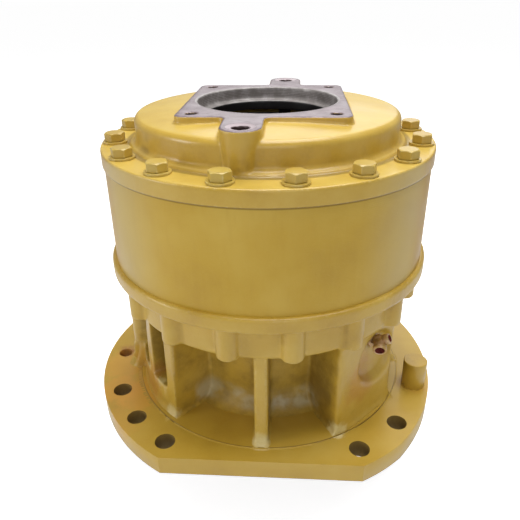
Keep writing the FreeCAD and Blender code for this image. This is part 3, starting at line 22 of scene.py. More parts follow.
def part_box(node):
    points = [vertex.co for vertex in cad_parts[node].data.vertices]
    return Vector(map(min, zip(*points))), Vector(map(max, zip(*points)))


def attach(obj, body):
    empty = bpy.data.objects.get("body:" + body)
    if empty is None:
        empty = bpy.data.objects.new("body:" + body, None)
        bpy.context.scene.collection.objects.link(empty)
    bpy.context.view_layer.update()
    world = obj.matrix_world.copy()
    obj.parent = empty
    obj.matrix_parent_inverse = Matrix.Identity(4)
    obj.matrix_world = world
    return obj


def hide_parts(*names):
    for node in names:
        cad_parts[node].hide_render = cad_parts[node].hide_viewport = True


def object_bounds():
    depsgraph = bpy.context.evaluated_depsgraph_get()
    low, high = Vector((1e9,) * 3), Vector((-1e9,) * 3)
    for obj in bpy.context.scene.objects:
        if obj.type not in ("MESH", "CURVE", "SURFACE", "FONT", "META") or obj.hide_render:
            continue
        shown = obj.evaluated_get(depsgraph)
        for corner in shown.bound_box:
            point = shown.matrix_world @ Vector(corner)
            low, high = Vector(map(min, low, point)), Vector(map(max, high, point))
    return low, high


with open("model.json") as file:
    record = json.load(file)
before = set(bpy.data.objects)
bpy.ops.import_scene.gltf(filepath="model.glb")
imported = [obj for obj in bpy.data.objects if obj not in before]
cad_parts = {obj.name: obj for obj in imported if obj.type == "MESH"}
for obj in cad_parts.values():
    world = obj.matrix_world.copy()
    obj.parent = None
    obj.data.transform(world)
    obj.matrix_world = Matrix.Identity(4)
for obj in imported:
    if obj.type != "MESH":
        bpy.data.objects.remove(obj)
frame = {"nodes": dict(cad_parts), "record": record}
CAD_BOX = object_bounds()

MM = 0.001
scene = bpy.context.scene
scene.view_settings.view_transform = "Standard"
low, high = (Vector(corner) for corner in CAD_BOX)
print("gearbox", [round(side / MM) for side in high - low], "mm")

# %% [markdown]
# ## The camera
# The photograph was taken by someone standing in front of the gearbox and looking down on it. The
# place, the pitch and the small roll of the camera were found by fitting the round edges of the
# flanges, so the picture has the same perspective as the photograph. The lens is given in pixels of
# a 520 pixel picture, and the sensor is 36 mm wide, so the focal length follows from both.

# %% Camera
CAMERA_PLACE = Vector((38.1, -751.3, 585.7)) * MM
CAMERA_PITCH = math.radians(26.72)
CAMERA_TURN = math.radians(-3.84)
CAMERA_ROLL = math.radians(-0.67)
FOCAL_PIXELS = 545.1
PICTURE_PIXELS = 520
SENSOR_WIDTH = 36.0
CLIP_END = 50


def linked(name, data):
    """A new object of the scene for a mesh, a lamp or a camera."""
    made = bpy.data.objects.new(name, data)
    scene.collection.objects.link(made)
    return made


def camera_rotation():
    """The camera's axes: to the right, up, and backwards."""
    look = Vector((
        math.sin(CAMERA_TURN) * math.cos(CAMERA_PITCH),
        math.cos(CAMERA_TURN) * math.cos(CAMERA_PITCH),
        -math.sin(CAMERA_PITCH),
    ))
    right = look.cross(Vector((0, 0, 1))).normalized()
    up = right.cross(look)
    tilted = right * math.cos(CAMERA_ROLL) + up * math.sin(CAMERA_ROLL)
    upward = up * math.cos(CAMERA_ROLL) - right * math.sin(CAMERA_ROLL)
    return Matrix((tilted, upward, -look)).transposed()


lens = bpy.data.cameras.new("camera")
lens.sensor_width = SENSOR_WIDTH
lens.lens = FOCAL_PIXELS / PICTURE_PIXELS * SENSOR_WIDTH
lens.clip_end = CLIP_END
camera = linked("camera", lens)
camera.matrix_world = Matrix.Translation(CAMERA_PLACE) @ camera_rotation().to_4x4()
scene.camera = camera
print("lens", round(lens.lens, 2), "mm")

# %% [markdown]
# ## Helpers for shader nodes
# A material is a small program drawn as nodes. These helpers keep each step to one line: `add` puts
# in a node, and `feed` either links a socket or sets its value, whichever it is given.

# %% Node helpers
def feed(tree, socket, value):
    """Links a socket to another node's output, or sets its own value."""
    if isinstance(value, bpy.types.NodeSocket):
        tree.links.new(value, socket)
    else:
        socket.default_value = value


def add(tree, kind, inputs=None, **settings):
    """Adds a node, sets it up and feeds the sockets that are named or numbered."""
    made = tree.nodes.new(kind)
    for name, value in settings.items():
        setattr(made, name, value)
    for name, value in (inputs or {}).items():
        feed(tree, made.inputs[name], value)
    return made


def calc(tree, operation, first, second=0.0):
    """One sum on two numbers."""
    return add(tree, "ShaderNodeMath", {0: first, 1: second}, operation=operation).outputs[0]


def times(tree, first, second):
    """One number or mask multiplied by another."""
    return calc(tree, "MULTIPLY", first, second)


def far(tree, x, y):
    """The distance of x, y from the origin."""
    return calc(tree, "SQRT", calc(tree, "ADD", times(tree, x, x), times(tree, y, y)))


def ramp(tree, value, start, end, to_min=0.0, to_max=1.0):
    """A soft step from to_min to to_max while value goes from start to end."""
    made = add(tree, "ShaderNodeMapRange", interpolation_type="SMOOTHSTEP")
    names = ("Value", "From Min", "From Max", "To Min", "To Max")
    for name, number in zip(names, (value, start, end, to_min, to_max)):
        feed(tree, made.inputs[name], number)
    return made.outputs["Result"]


def noise(tree, place, size_mm, detail, rough):
    """Noise with lumps of about that size, which is a number or a socket."""
    if isinstance(size_mm, bpy.types.NodeSocket):
        scale = calc(tree, "DIVIDE", 1000.0, size_mm)
    else:
        scale = 1.0 / (size_mm * MM)
    inputs = {"Vector": place, "Scale": scale, "Detail": detail, "Roughness": rough}
    return add(tree, "ShaderNodeTexNoise", inputs).outputs["Fac"]


def blend(tree, factor, first, second):
    """One colour mixed over another."""
    made = add(tree, "ShaderNodeMix", data_type="RGBA")
    for name, value in (("Factor", factor), ("A", first), ("B", second)):
        feed(tree, made.inputs[name], value)
    return made.outputs["Result"]


def colour(text):
    """An sRGB colour such as c8a850 as the linear numbers that nodes work with."""
    parts = [int(text[start:start + 2], 16) / 255 for start in (0, 2, 4)]
    return tuple(((p + 0.055) / 1.055) ** 2.4 if p > 0.04045 else p / 12.92 for p in parts) + (1.0,)


# %% [markdown]
# ## The studio
# The photograph shows the gearbox alone on white. A pale floor under it keeps a soft shadow, and
# the world behind it is white to the camera only, so that the paint is lit at a plain level and the
# background still comes out white. The strongest lamp hangs above. Weaker ones stand behind, in
# front and on the left, because the tops are the brightest parts of the real object.

# %% Lamps, floor and background
FLOOR_REACH = 30.0
FLOOR_GAP = 0.2 * MM
FLOOR_LIFT = 0.72
WORLD_LIGHT = 0.33
LAMP_AIM = Vector((0, 0, 0.2))
# Place in metres, width in metres and power in watts.
LAMPS = {
    "lamp_above": ((0.2, 0.1, 2.3), 1.7, 54.0),
    "lamp_back": ((0.2, 3.0, 2.05), 2.2, 21.0),
    "lamp_front": ((0.5, -2.6, 1.1), 1.5, 12.0),
    "lamp_left": ((-2.4, -0.9, 0.8), 0.8, 17.0),
}
for lamp_name, (place, width, power) in LAMPS.items():
    light = bpy.data.lights.new(lamp_name, "AREA")
    light.size = width
    light.energy = power
    lamp = linked(lamp_name, light)
    lamp.location = place
    lamp.rotation_euler = (LAMP_AIM - Vector(place)).to_track_quat("-Z", "Y").to_euler()

# The world is white where the camera sees it and dimmer where it lights the object.
world = bpy.data.worlds.new("studio")
world.use_nodes = True
scene.world = world
sky = world.node_tree
rays = add(sky, "ShaderNodeLightPath").outputs
seen = calc(sky, "MAXIMUM", rays["Is Camera Ray"], rays["Is Transmission Ray"])
strength = add(sky, "ShaderNodeMapRange", {"Value": seen, "To Min": WORLD_LIGHT, "To Max": 1.0})
feed(sky, sky.nodes["Background"].inputs["Strength"], strength.outputs["Result"])
feed(sky, sky.nodes["Background"].inputs["Color"], (1, 1, 1, 1))


def studio_floor():
    """A plain square floor just below the lowest point of the gearbox."""
    mesh = bpy.data.meshes.new("floor")
    corners = [(x * FLOOR_REACH, y * FLOOR_REACH, low.z - FLOOR_GAP)
               for x, y in ((-1, -1), (1, -1), (1, 1), (-1, 1))]
    mesh.from_pydata(corners, [], [(0, 1, 2, 3)])
    surface = bpy.data.materials.new("pale_floor")
    surface.use_nodes = True
    tree = surface.node_tree
    camera_ray = add(tree, "ShaderNodeLightPath").outputs["Is Camera Ray"]
    for label, value in (("Base Color", (0.8, 0.8, 0.8, 1)), ("Roughness", 0.9),
                         ("Emission Color", (1, 1, 1, 1)),
                         ("Emission Strength", times(tree, camera_ray, FLOOR_LIFT))):
        feed(tree, tree.nodes["Principled BSDF"].inputs[label], value)
    mesh.materials.append(surface)
    return linked("floor", mesh)


studio_floor()
print("floor at", round(low.z / MM, 1), "mm")

# %% [markdown]
# ## Effects that several finishes share
# Paint clouds, worn edges, dirt with painted shade in the hollows, cutter rings and the grain of a
# sand casting show on more than one piece. Each is a node group with named inputs, built once and
# placed in every material with its own values. The masks `edge` and `shelter` come from the mesh:
# they are worked out below from how the surface bends and how much of the sky each point sees.

# %% Shader node groups
PAINT = colour("bd9a35")
PAINT_THIN = colour("c8a94c")
PAINT_THICK = colour("a9852b")
SOCKET_KINDS = {float: "NodeSocketFloat", tuple: "NodeSocketColor", str: "NodeSocketVector"}


def effect(name, inputs, outputs):
    """An empty node group with those inputs, by default value, and those outputs, by kind."""
    group = bpy.data.node_groups.new(name, "ShaderNodeTree")
    for label, value in ({"Place": ""} | inputs).items():
        socket = group.interface.new_socket(
            label, in_out="INPUT", socket_type=SOCKET_KINDS[type(value)])
        if not isinstance(value, str):
            socket.default_value = value
    for label, kind in outputs.items():
        group.interface.new_socket(label, in_out="OUTPUT", socket_type=SOCKET_KINDS[kind])
    entry = group.nodes.new("NodeGroupInput").outputs
    result = group.nodes.new("NodeGroupOutput").inputs
    return group, entry, result


def paint_clouds():
    """Thin and thick paint: broad clouds, runs down the wall, and fine mottling."""
    group, entry, result = effect("paint_clouds", {
        "Paint": PAINT, "Thin": PAINT_THIN, "Thick": PAINT_THICK,
        "Cloud size": 60.0, "Streaks": 0.3, "Mottle": 0.25}, {"Colour": tuple, "Fac": float})
    cloud = noise(group, entry["Place"], entry["Cloud size"], 3.0, 0.5)
    stretched = add(group, "ShaderNodeMapping", {
        "Vector": entry["Place"], "Scale": (1.0, 1.0, 0.13)})
    streak = noise(group, stretched.outputs["Vector"], 9, 3, 0.6)
    speck = noise(group, entry["Place"], 3.2, 3, 0.6)
    shade = entry["Paint"]
    for mask, tone in (
        (ramp(group, cloud, 0.45, 0.8, 0.0, 0.75), "Thin"),
        (ramp(group, cloud, 0.52, 0.22, 0.0, 0.6), "Thick"),
        (times(group, ramp(group, streak, 0.5, 0.75), entry["Streaks"]), "Thin"),
        (times(group, ramp(group, streak, 0.46, 0.28), entry["Streaks"]), "Thick"),
        (times(group, ramp(group, speck, 0.42, 0.7), entry["Mottle"]), "Thin"),
    ):
        shade = blend(group, mask, shade, entry[tone])
    feed(group, result["Colour"], shade)
    feed(group, result["Fac"], cloud)
    return group


def edge_wear():
    """Where paint is rubbed off: along convex edges, broken up by noise."""
    group, entry, result = effect(
        "edge_wear", {"Edge": 0.0, "Amount": 0.5, "Patch size": 7.0}, {"Fac": float})
    patch = noise(group, entry["Place"], entry["Patch size"], 5.0, 0.65)
    reach = times(group, entry["Edge"], ramp(group, patch, 0.35, 0.7))
    feed(group, result["Fac"], times(group, ramp(group, reach, 0.12, 0.55), entry["Amount"]))
    return group


def settled_dirt():
    """Dirt and painted shade in the corners and recesses that see little of the sky."""
    group, entry, result = effect(
        "settled_dirt", {"Shelter": 0.0, "Amount": 0.6, "Patch size": 24.0}, {"Fac": float})
    patch = noise(group, entry["Place"], entry["Patch size"], 5.0, 0.6)
    spread = calc(group, "ADD", entry["Shelter"], ramp(group, patch, 0.3, 0.75, -0.18, 0.18))
    feed(group, result["Fac"], times(group, ramp(group, spread, 0.2, 0.85), entry["Amount"]))
    return group


def cutter_rings():
    """Fine rings that a lathe leaves on a face and on a bore round the Z axis."""
    group, entry, result = effect(
        "cutter_rings", {"Pitch": 1.2, "Depth": 0.5}, {"Height": float, "Fac": float})
    parts = add(group, "ShaderNodeSeparateXYZ", {"Vector": entry["Place"]}).outputs
    along = calc(group, "ADD", far(group, parts["X"], parts["Y"]), parts["Z"])
    turns = calc(group, "DIVIDE", times(group, along, 1000.0), entry["Pitch"])
    wave = calc(group, "SINE", times(group, turns, math.tau))
    drift = noise(group, entry["Place"], 14, 4, 0.6)
    feed(group, result["Height"], times(group, wave, entry["Depth"]))
    feed(group, result["Fac"], calc(group, "ADD", times(group, wave, 0.12), drift))
    return group


def cast_grain():
    """The height of a sand-cast skin under paint: pits and lumps of two sizes."""
    group, entry, result = effect("cast_grain", {"Coarse": 0.6, "Fine": 0.4}, {"Height": float})
    coarse = noise(group, entry["Place"], 11, 3, 0.55)
    fine = noise(group, entry["Place"], 2.2, 3, 0.6)
    total = calc(group, "ADD", times(group, coarse, entry["Coarse"]),
                 times(group, fine, entry["Fine"]))
    feed(group, result["Height"], total)
    return group


EFFECTS = {made.name: made for made in (
    paint_clouds(), edge_wear(), settled_dirt(), cutter_rings(), cast_grain())}
print("effects:", ", ".join(EFFECTS))

# %% [markdown]
# ## Starting a finish
# Every finish starts the same way: a Principled BSDF, the object's own coordinates, and the distance
# from the gearbox's axis, which tells painted outer walls from the bare bores inside. Masks are
# numbers from 0 to 1, and `tint` lays one more colour over the others where a mask is 1.

# %% Material helpers
COAT_ROUGHNESS = 0.2


class Finish:
    """A material under construction, with the inputs that most finishes need."""

    def __init__(self, name, roughness=0.45, coat=0.0):
        self.material = bpy.data.materials.new(name)
        self.material.use_nodes = True
        self.tree = self.material.node_tree
        self.shader = self.tree.nodes["Principled BSDF"].inputs
        self.set("Roughness", roughness)
        self.set("Coat Weight", coat)
        self.set("Coat Roughness", COAT_ROUGHNESS)
        self.place = add(self.tree, "ShaderNodeTexCoord").outputs["Object"]
        split = add(self.tree, "ShaderNodeSeparateXYZ", {"Vector": self.place})
        self.x, self.y, self.z = split.outputs
        self.radius = far(self.tree, self.x, self.y)

    def set(self, label, value):
        """Sets an input of the shader, or links it."""
        feed(self.tree, self.shader[label], value)

    def use(self, name, **inputs):
        """Places an effect in the material."""
        made = self.tree.nodes.new("ShaderNodeGroup")
        made.node_tree = EFFECTS[name]
        for label, value in {"Place": self.place, **inputs}.items():
            feed(self.tree, made.inputs[label.replace("_", " ")], value)
        return made.outputs

    def mask(self, name):
        """A number kept in the mesh."""
        return add(self.tree, "ShaderNodeAttribute", attribute_name=name).outputs["Fac"]

    def noise(self, size_mm, detail, rough):
        return noise(self.tree, self.place, size_mm, detail, rough)

    def ramp(self, value, start, end, to_min=0.0, to_max=1.0):
        return ramp(self.tree, value, start, end, to_min, to_max)

    def zone(self, value, limits_mm, to_max=1.0):
        """0 at the first limit, to_max at the second and a soft step between them."""
        first, second = limits_mm
        return self.ramp(value, first * MM, second * MM, 0.0, to_max)

    def region(self, wall, height, to_max=1.0):
        """Where a zone round the axis and a zone of height meet."""
        return self.both(self.zone(self.radius, wall), self.zone(self.z, height, to_max))

    def tones(self, mask, first, second):
        """Two colours mixed by a mask."""
        return blend(self.tree, mask, colour(first), colour(second))

    def both(self, *masks):
        """Where all the masks are."""
        return reduce(lambda first, second: times(self.tree, first, second), masks)

    def either(self, *masks):
        """Where at least one of the masks is."""
        return reduce(lambda first, second: calc(self.tree, "MAXIMUM", first, second), masks)

    def tint(self, mask, tone):
        """Lays a colour over those before it."""
        self.shade = blend(self.tree, mask, self.shade, tone)

    def bump(self, height, depth_mm):
        """Raises the surface by the height, in millimetres."""
        made = add(self.tree, "ShaderNodeBump",
                   {"Height": height, "Distance": depth_mm * MM, "Strength": 1.0})
        self.set("Normal", made.outputs["Normal"])

    def spot(self, centre, radius_mm):
        """1 near a point and 0 away from it, with a ragged edge."""
        gap = add(self.tree, "ShaderNodeVectorMath", {0: self.place, 1: Vector(centre) * MM},
                  operation="DISTANCE").outputs["Value"]
        half = radius_mm * 0.5
        ragged = times(self.tree, self.noise(half, 4, 0.6), radius_mm * MM)
        reach = calc(self.tree, "ADD", gap, calc(self.tree, "SUBTRACT", ragged, half * MM))
        return self.zone(reach, (radius_mm, half))


# %% [markdown]
# ## Paint
# The gearbox is sprayed in one ochre yellow after it is put together, so housing, ring gear, cover
# and bolts share one paint. They differ in what is under it: rough casting on the housing and the
# cover, a turned wall on the ring gear. The same function makes all of them with other values.

# %% The paint and its zones
# The darkest brown stands for dirt, and for painted shade in hollows and seams.
DIRT_AND_SHADE = colour("614a16")
RUST = colour("b3772c")
# A pale cream for worn paint, and also for painted highlights.
WORN_PAINT_AND_HIGHLIGHT = colour("d8c88c")
BARE_IRON = colour("8f8480")
# The two darkest colours are painted shade, in open holes and deep in the bore.
HOLE_SHADE = colour("38221f")
BORE_SHADE = colour("161314")
DIRT_ROUGHNESS = 0.45
PAINT_COAT = 0.3
BAND_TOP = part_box("ring_gear")[1][2]

# Zones in millimetres: the mask is 0 at the first number and 1 at the second.
BOWL_WALL, BOWL_FLOOR = (181, 180), (181, 184)
BORE_WALL, BORE_TOP = (137, 136), (24, 20)
TUBE_WALL = (113.5, 112.8)
JOINT_WALL, JOINT_FACE = (221, 220), (243.6, 244.2)
MOUNTING_FACE = (0.8, 0.2)
FLARE_FOOT, FLARE_TOP = (31, 40), (74, 52)
FLARE_WALL, FLARE_RIGHT, FLARE_LEFT = (168, 160), (88, 78), (-120, -108)
STEP_INSIDE, STEP_OUTSIDE = (208.8, 209.8), (211.4, 210.2)
TEETH = (214, 212)
RIM_WALL, RIM_HEIGHT = (198, 200), (399.5, 398.5)
DOME_FOOT_INSIDE, DOME_FOOT_OUTSIDE, DOME_FOOT_HEIGHT = (185, 187.5), (194.5, 191.5), (405, 402.5)
PAD_TOP, BELOW_PAD = (449.2, 449.6), (449.75, 449.4)
MOTOR_BORE, BELOW_STEP = (97, 96), (432.5, 431)
COVER_ROOM, COVER_ROOM_HEIGHT = (190, 189), (400, 399)
SPOTFACE_HEIGHT = (444, 446)

# Holes in the cover: x, y and radius in millimetres. There is a motor hole in each quarter, and
# the two ports lie across from each other.
MOTOR_HOLE = (87, 95, 7)
PORTS = ((-21, -163.5), (21, 163.5))
SPOTFACE_RADIUS = 16.4
PORT_RADIUS = 10

# Stains and painted highlights: place and radius in millimetres, and depth of colour.
HOUSING_RUST = (((-170, -104, 60), 40, 0.5), ((-200, -60, 40), 40, 0.35),
                ((140, -150, 95), 46, 0.5))
FOOT_HIGHLIGHTS = (((0, -201, 34), 17, 0.7), ((104, -176, 34), 17, 0.7), ((-132, -152, 34), 15, 0.6),
             ((-176, -96, 76), 14, 0.6), ((-152, -132, 76), 12, 0.5))
FLANGE_ORANGE = (((-225, -100, 28), 46, 0.6), ((-236, -40, 28), 46, 0.5),
                 ((-190, -110, 29), 46, 0.6), ((-205, -170, 29), 40, 0.3))
FLANGE_RUST = (((228, -60, 28), 34, 0.2),)
DOWEL_HOLE = (((-240, 0, 16), 24, 0.6),)

# Painted sheen and shade by the angle from the front, in degrees: where each begins and ends, depth,
# colour.
SIDE_SHEEN_AND_SHADE = (((28, 50), (65, 53), 0.34, colour("c0b487")),
              ((54, 67), (125, 80), 0.38, colour("a06f22")))


def painted(name, cloud, streaks, mottle, grain, wear, dirt, rings=0.0, coat=PAINT_COAT):
    """Yellow paint over a casting or a turned wall."""
    made = Finish(name, coat=coat)
    clouds = made.use("paint_clouds", Paint=PAINT, Thin=PAINT_THIN, Thick=PAINT_THICK,
                      Cloud_size=cloud, Streaks=streaks, Mottle=mottle)
    made.shade = clouds["Colour"]
    made.tint(made.use("edge_wear", Edge=made.mask("edge"), Amount=wear)["Fac"], WORN_PAINT_AND_HIGHLIGHT)
    # Dirt, and painted shade, where the surface sees little of the sky.
    made.dirt = made.use("settled_dirt", Shelter=made.mask("shelter"), Amount=dirt)["Fac"]
    made.tint(made.dirt, DIRT_AND_SHADE)
    made.height = made.use("cast_grain", Coarse=grain, Fine=grain * 0.5)["Height"]
    if rings:
        marks = made.use("cutter_rings", Pitch=2.4, Depth=rings)["Height"]
        made.height = calc(made.tree, "ADD", made.height, marks)
    made.rough = made.ramp(clouds["Fac"], 0.3, 0.7, 0.32, 0.46)
    return made


def finish_paint(made, depth_mm):
    """Joins colour, roughness and bump to the shader."""
    made.set("Base Color", made.shade)
    made.set("Roughness", calc(made.tree, "ADD", made.rough, made.both(made.dirt, DIRT_ROUGHNESS)))
    made.bump(made.height, depth_mm)
    return made.material


def bare_inside(made, mask, tone=BARE_IRON, metal=0.35):
    """Bare iron instead of paint where the mask is 1."""
    made.tint(mask, tone)
    made.set("Metallic", made.both(mask, metal))


def stained(made, spots, tone=RUST):
    """Lays a ragged spot of colour at each place."""
    for centre, radius, depth in spots:
        made.tint(made.both(made.spot(centre, radius), depth), tone)


def inner_walls(made):
    """The bores and the bowl inside the lower housing, the joint face and the mounting face."""
    return made.either(
        made.region(BOWL_WALL, BOWL_FLOOR), made.region(BORE_WALL, BORE_TOP),
        made.zone(made.radius, TUBE_WALL), made.region(JOINT_WALL, JOINT_FACE),
        made.zone(made.z, MOUNTING_FACE))


def side_sheen_and_shade(made, where=1.0):
    """A painted sheen and then a painted shade towards both sides, as seen from the front."""
    turn = calc(made.tree, "ARCTAN2", made.x, times(made.tree, made.y, -1.0))
    aside = calc(made.tree, "ABSOLUTE", turn)
    for begin, end, depth, tone in SIDE_SHEEN_AND_SHADE:
        rising = made.ramp(aside, *map(math.radians, begin))
        falling = made.ramp(aside, *map(math.radians, end), 0.0, depth)
        made.tint(made.both(rising, falling, where), tone)


def hole_mask(made, x_mm, y_mm, radius_mm, mirrored=False):
    """1 inside an upright hole, also inside its mirror images in the other quarters."""
    x, y = made.x, made.y
    if mirrored:
        x, y = calc(made.tree, "ABSOLUTE", x), calc(made.tree, "ABSOLUTE", y)
    gap = far(made.tree, calc(made.tree, "SUBTRACT", x, x_mm * MM),
              calc(made.tree, "SUBTRACT", y, y_mm * MM))
    return made.zone(gap, (radius_mm + 0.7, radius_mm + 0.1))


# %% The painted finishes
def housing_paint():
    """The cast part of the housing: rough skin, dirt and painted shade between the ribs, rust by the
    sill.
    """
    made = painted("housing_paint", 60, 0.05, 0.15, 1.0, 0.22, 0.56)
    # A pale patch where the tube between the ribs flares out is a painted sheen.
    patch = made.ramp(made.noise(34, 3, 0.5), 0.42, 0.62, 0.1, 0.62)
    made.tint(made.both(
        made.zone(made.z, FLARE_FOOT), made.zone(made.z, FLARE_TOP),
        made.zone(made.radius, FLARE_WALL), made.zone(made.x, FLARE_RIGHT),
        made.zone(made.x, FLARE_LEFT), patch), colour("c9c09c"))
    stained(made, HOUSING_RUST)
    # The pale spots at the feet of the ribs and the block are painted highlights.
    stained(made, FOOT_HIGHLIGHTS, WORN_PAINT_AND_HIGHLIGHT)
    bare_inside(made, inner_walls(made))
    return finish_paint(made, 0.5)


def flange_paint():
    """The mounting flange: a flat, slightly brushed coat, rusty round the left holes."""
    made = painted("flange_paint", 80, 0.0, 0.12, 0.35, 0.3, 0.55)
    stained(made, FLANGE_ORANGE, colour("d39a38"))
    stained(made, FLANGE_RUST)
    # The walls of the mounting holes get a painted shade.
    inside = made.both(made.mask("hole_wall"), 0.9)
    made.tint(inside, colour("6b5420"))
    stained(made, DOWEL_HOLE, colour("8f4a34"))
    # A thin painted shade line along the step of the bolt seat.
    step = made.both(made.zone(made.radius, STEP_INSIDE), made.zone(made.radius, STEP_OUTSIDE))
    made.tint(made.both(step, 0.7), colour("6e5420"))
    made.dirt = made.either(made.dirt, inside)
    made.set("Coat Weight", calc(made.tree, "SUBTRACT", PAINT_COAT, made.both(inside, 0.33)))
    bare_inside(made, inner_walls(made))
    return finish_paint(made, 0.3)


def band_paint():
    """The ring gear: a turned wall outside, bare steel teeth inside."""
    made = painted("band_paint", 90, 0.12, 0.1, 0.3, 0.5, 0.2, rings=0.3, coat=0.06)
    # Towards both sides: a pale painted sheen, then a browner painted shade.
    side_sheen_and_shade(made)
    made.set("Specular IOR Level", 0.3)
    # A painted shadow under the rim of the cover, along the top of the band.
    made.tint(made.ramp(made.z, BAND_TOP - 2.4 * MM, BAND_TOP - 0.9 * MM, 0.0, 0.6), DIRT_AND_SHADE)
    bare_inside(made, made.zone(made.radius, TEETH), colour("5c5c60"), 0.9)
    return finish_paint(made, 0.1)


def cover_paint():
    """The cover: fine casting, with a bare milled pad, bare bores, and painted shade deep in the bore
    and holes.
    """
    made = painted("cover_paint", 55, 0.0, 0.15, 0.8, 0.3, 0.5)
    tree = made.tree
    # Painted light on level faces, painted sheen and shade on the rim, painted shade in the seams.
    top_light = made.ramp(made.noise(45, 3, 0.5), 0.3, 0.7, 0.22, 0.42)
    made.tint(made.both(made.ramp(made.mask("up"), 0.8, 0.97), top_light), colour("d8bf62"))
    side_sheen_and_shade(made, made.region(RIM_WALL, RIM_HEIGHT))
    seam = made.both(made.zone(made.radius, RIM_WALL),
                     made.ramp(made.z, BAND_TOP + 2.0 * MM, BAND_TOP + 0.8 * MM, 0.0, 0.6))
    foot = made.both(made.zone(made.radius, DOME_FOOT_INSIDE),
                     made.region(DOME_FOOT_OUTSIDE, DOME_FOOT_HEIGHT, 0.55))
    made.tint(made.either(seam, foot), DIRT_AND_SHADE)
    # The milled pad has a ragged edge of paint round it.
    rag = times(tree, made.noise(5, 3, 0.6), 0.8 * MM)
    top = made.zone(calc(tree, "ADD", made.z, rag), PAD_TOP)
    tone = made.tones(made.ramp(made.noise(22, 5, 0.65), 0.35, 0.7), "6c5b60", "86767b")
    stain = made.ramp(made.noise(9, 4, 0.7), 0.5, 0.72)
    made.tint(top, blend(tree, stain, tone, colour("604c50")))
    # The bore is turned, and below its step it gets a painted shade.
    bore = made.zone(made.radius, MOTOR_BORE)
    inside = made.either(bore, made.region(COVER_ROOM, COVER_ROOM_HEIGHT))
    marks = made.use("cutter_rings", Pitch=2.2, Depth=0.5)["Fac"]
    made.tint(inside, made.tones(made.ramp(marks, 0.35, 0.75), "77706d", "a5a09d"))
    made.tint(made.both(bore, made.zone(made.z, BELOW_STEP)), BORE_SHADE)
    spotface = made.either(*(hole_mask(made, *port, SPOTFACE_RADIUS) for port in PORTS))
    threads = made.either(hole_mask(made, *MOTOR_HOLE, True),
                          *(hole_mask(made, *port, PORT_RADIUS) for port in PORTS))
    made.tint(made.both(spotface, made.zone(made.z, SPOTFACE_HEIGHT)), colour("9c8b8f"))
    # Painted shade inside the threaded holes and the ports, below the pad.
    made.tint(made.both(threads, made.zone(made.z, BELOW_PAD)), HOLE_SHADE)
    made.set("Metallic", made.both(made.either(top, inside, spotface), 0.22))
    return finish_paint(made, 0.3)


def bolt_paint():
    """Painted bolts and washers, each with its own share of dirt in the paint."""
    made = painted("bolt_paint", 30, 0.0, 0.2, 0.45, 0.6, 0.5)
    made.tint(0.35, colour("b8a95c"))
    made.tint(made.ramp(made.mask("tone"), 0.0, 1.0, 0.0, 0.4), PAINT_THICK)
    return finish_paint(made, 0.25)


def edge_paint():
    """The narrow rounded edge of a milled piece: thin paint, here and there rubbed through."""
    made = painted("edge_paint", 40, 0.0, 0.3, 0.3, 0.0, 0.0)
    made.tint(made.ramp(made.noise(12, 5, 0.65), 0.52, 0.68, 0.15, 0.8), WORN_PAINT_AND_HIGHLIGHT)
    return finish_paint(made, 0.2)


def post_paint():
    """The locating post."""
    return finish_paint(painted("post_paint", 40, 0.1, 0.2, 0.4, 0.6, 0.5), 0.25)


PAINTS = {paint.__name__: paint() for paint in (
    housing_paint, flange_paint, band_paint, cover_paint, edge_paint, bolt_paint, post_paint)}
print("paints:", ", ".join(PAINTS))

# %% [markdown]
# ## Bare metals and rubber
# Inside, nothing is painted. Gears are dark hardened steel with a film of oil, pins and races are
# ground bright, cages and washers are bronze, carriers are cast, and the seals are black rubber.
# The drain fittings outside are dull brass, with a painted shade inside their open ends.

# %% The bare finishes
# Two tones, share of metal, roughness; then pitch and depth of cutter rings, and size of the haze.
METALS = {
    "gear_steel": ("5a5a5e", "747377", 0.92, 0.34),
    "ground_steel": ("8e8c8a", "aaa8a5", 0.95, 0.24, 0.8, 0.2),
    "cast_carrier": ("3c3a38", "4d4945", 0.35, 0.6, 3.0, 0.4, 9),
    "bronze": ("8a6234", "a87c48", 0.85, 0.38),
    "brass_fitting": ("b89656", "d6b694", 0.2, 0.42, 2.0, 0.2, 6),
}


def metal(name, tone, second, metallic, rough, pitch=1.5, depth=0.3, lumps=20):
    """Bare metal with cutter rings and cloudy handling marks."""
    made = Finish(name)
    haze = made.noise(lumps, 5, 0.6)
    made.set("Base Color", made.tones(made.ramp(haze, 0.38, 0.68), tone, second))
    made.set("Roughness", made.ramp(haze, 0.3, 0.7, rough * 0.8, rough * 1.25))
    made.set("Metallic", metallic)
    made.bump(made.use("cutter_rings", Pitch=pitch, Depth=depth)["Height"], 0.05)
    return made.material


def fitting_hole():
    """A dark colour with a little mottling, a painted shade for the inside of a small pipe."""
    made = Finish("fitting_hole", roughness=0.9)
    mottle = made.ramp(made.noise(4, 3, 0.6), 0.4, 0.7)
    made.set("Base Color", made.tones(mottle, "7a2a22", "3a1412"))
    return made.material


def rubber():
    """Black rubber, slightly dusty."""
    made = Finish("rubber")
    dust = made.noise(6, 5, 0.65)
    made.set("Base Color", made.tones(made.ramp(dust, 0.5, 0.8), "1b1b1b", "3a3835"))
    made.set("Roughness", made.ramp(dust, 0.3, 0.7, 0.5, 0.75))
    made.bump(dust, 0.08)
    return made.material


BARE = {name: metal(name, *values) for name, values in METALS.items()}
BARE |= {"fitting_hole": fitting_hole(), "rubber": rubber()}
MATERIALS = PAINTS | BARE
print("metals and rubber:", ", ".join(BARE))

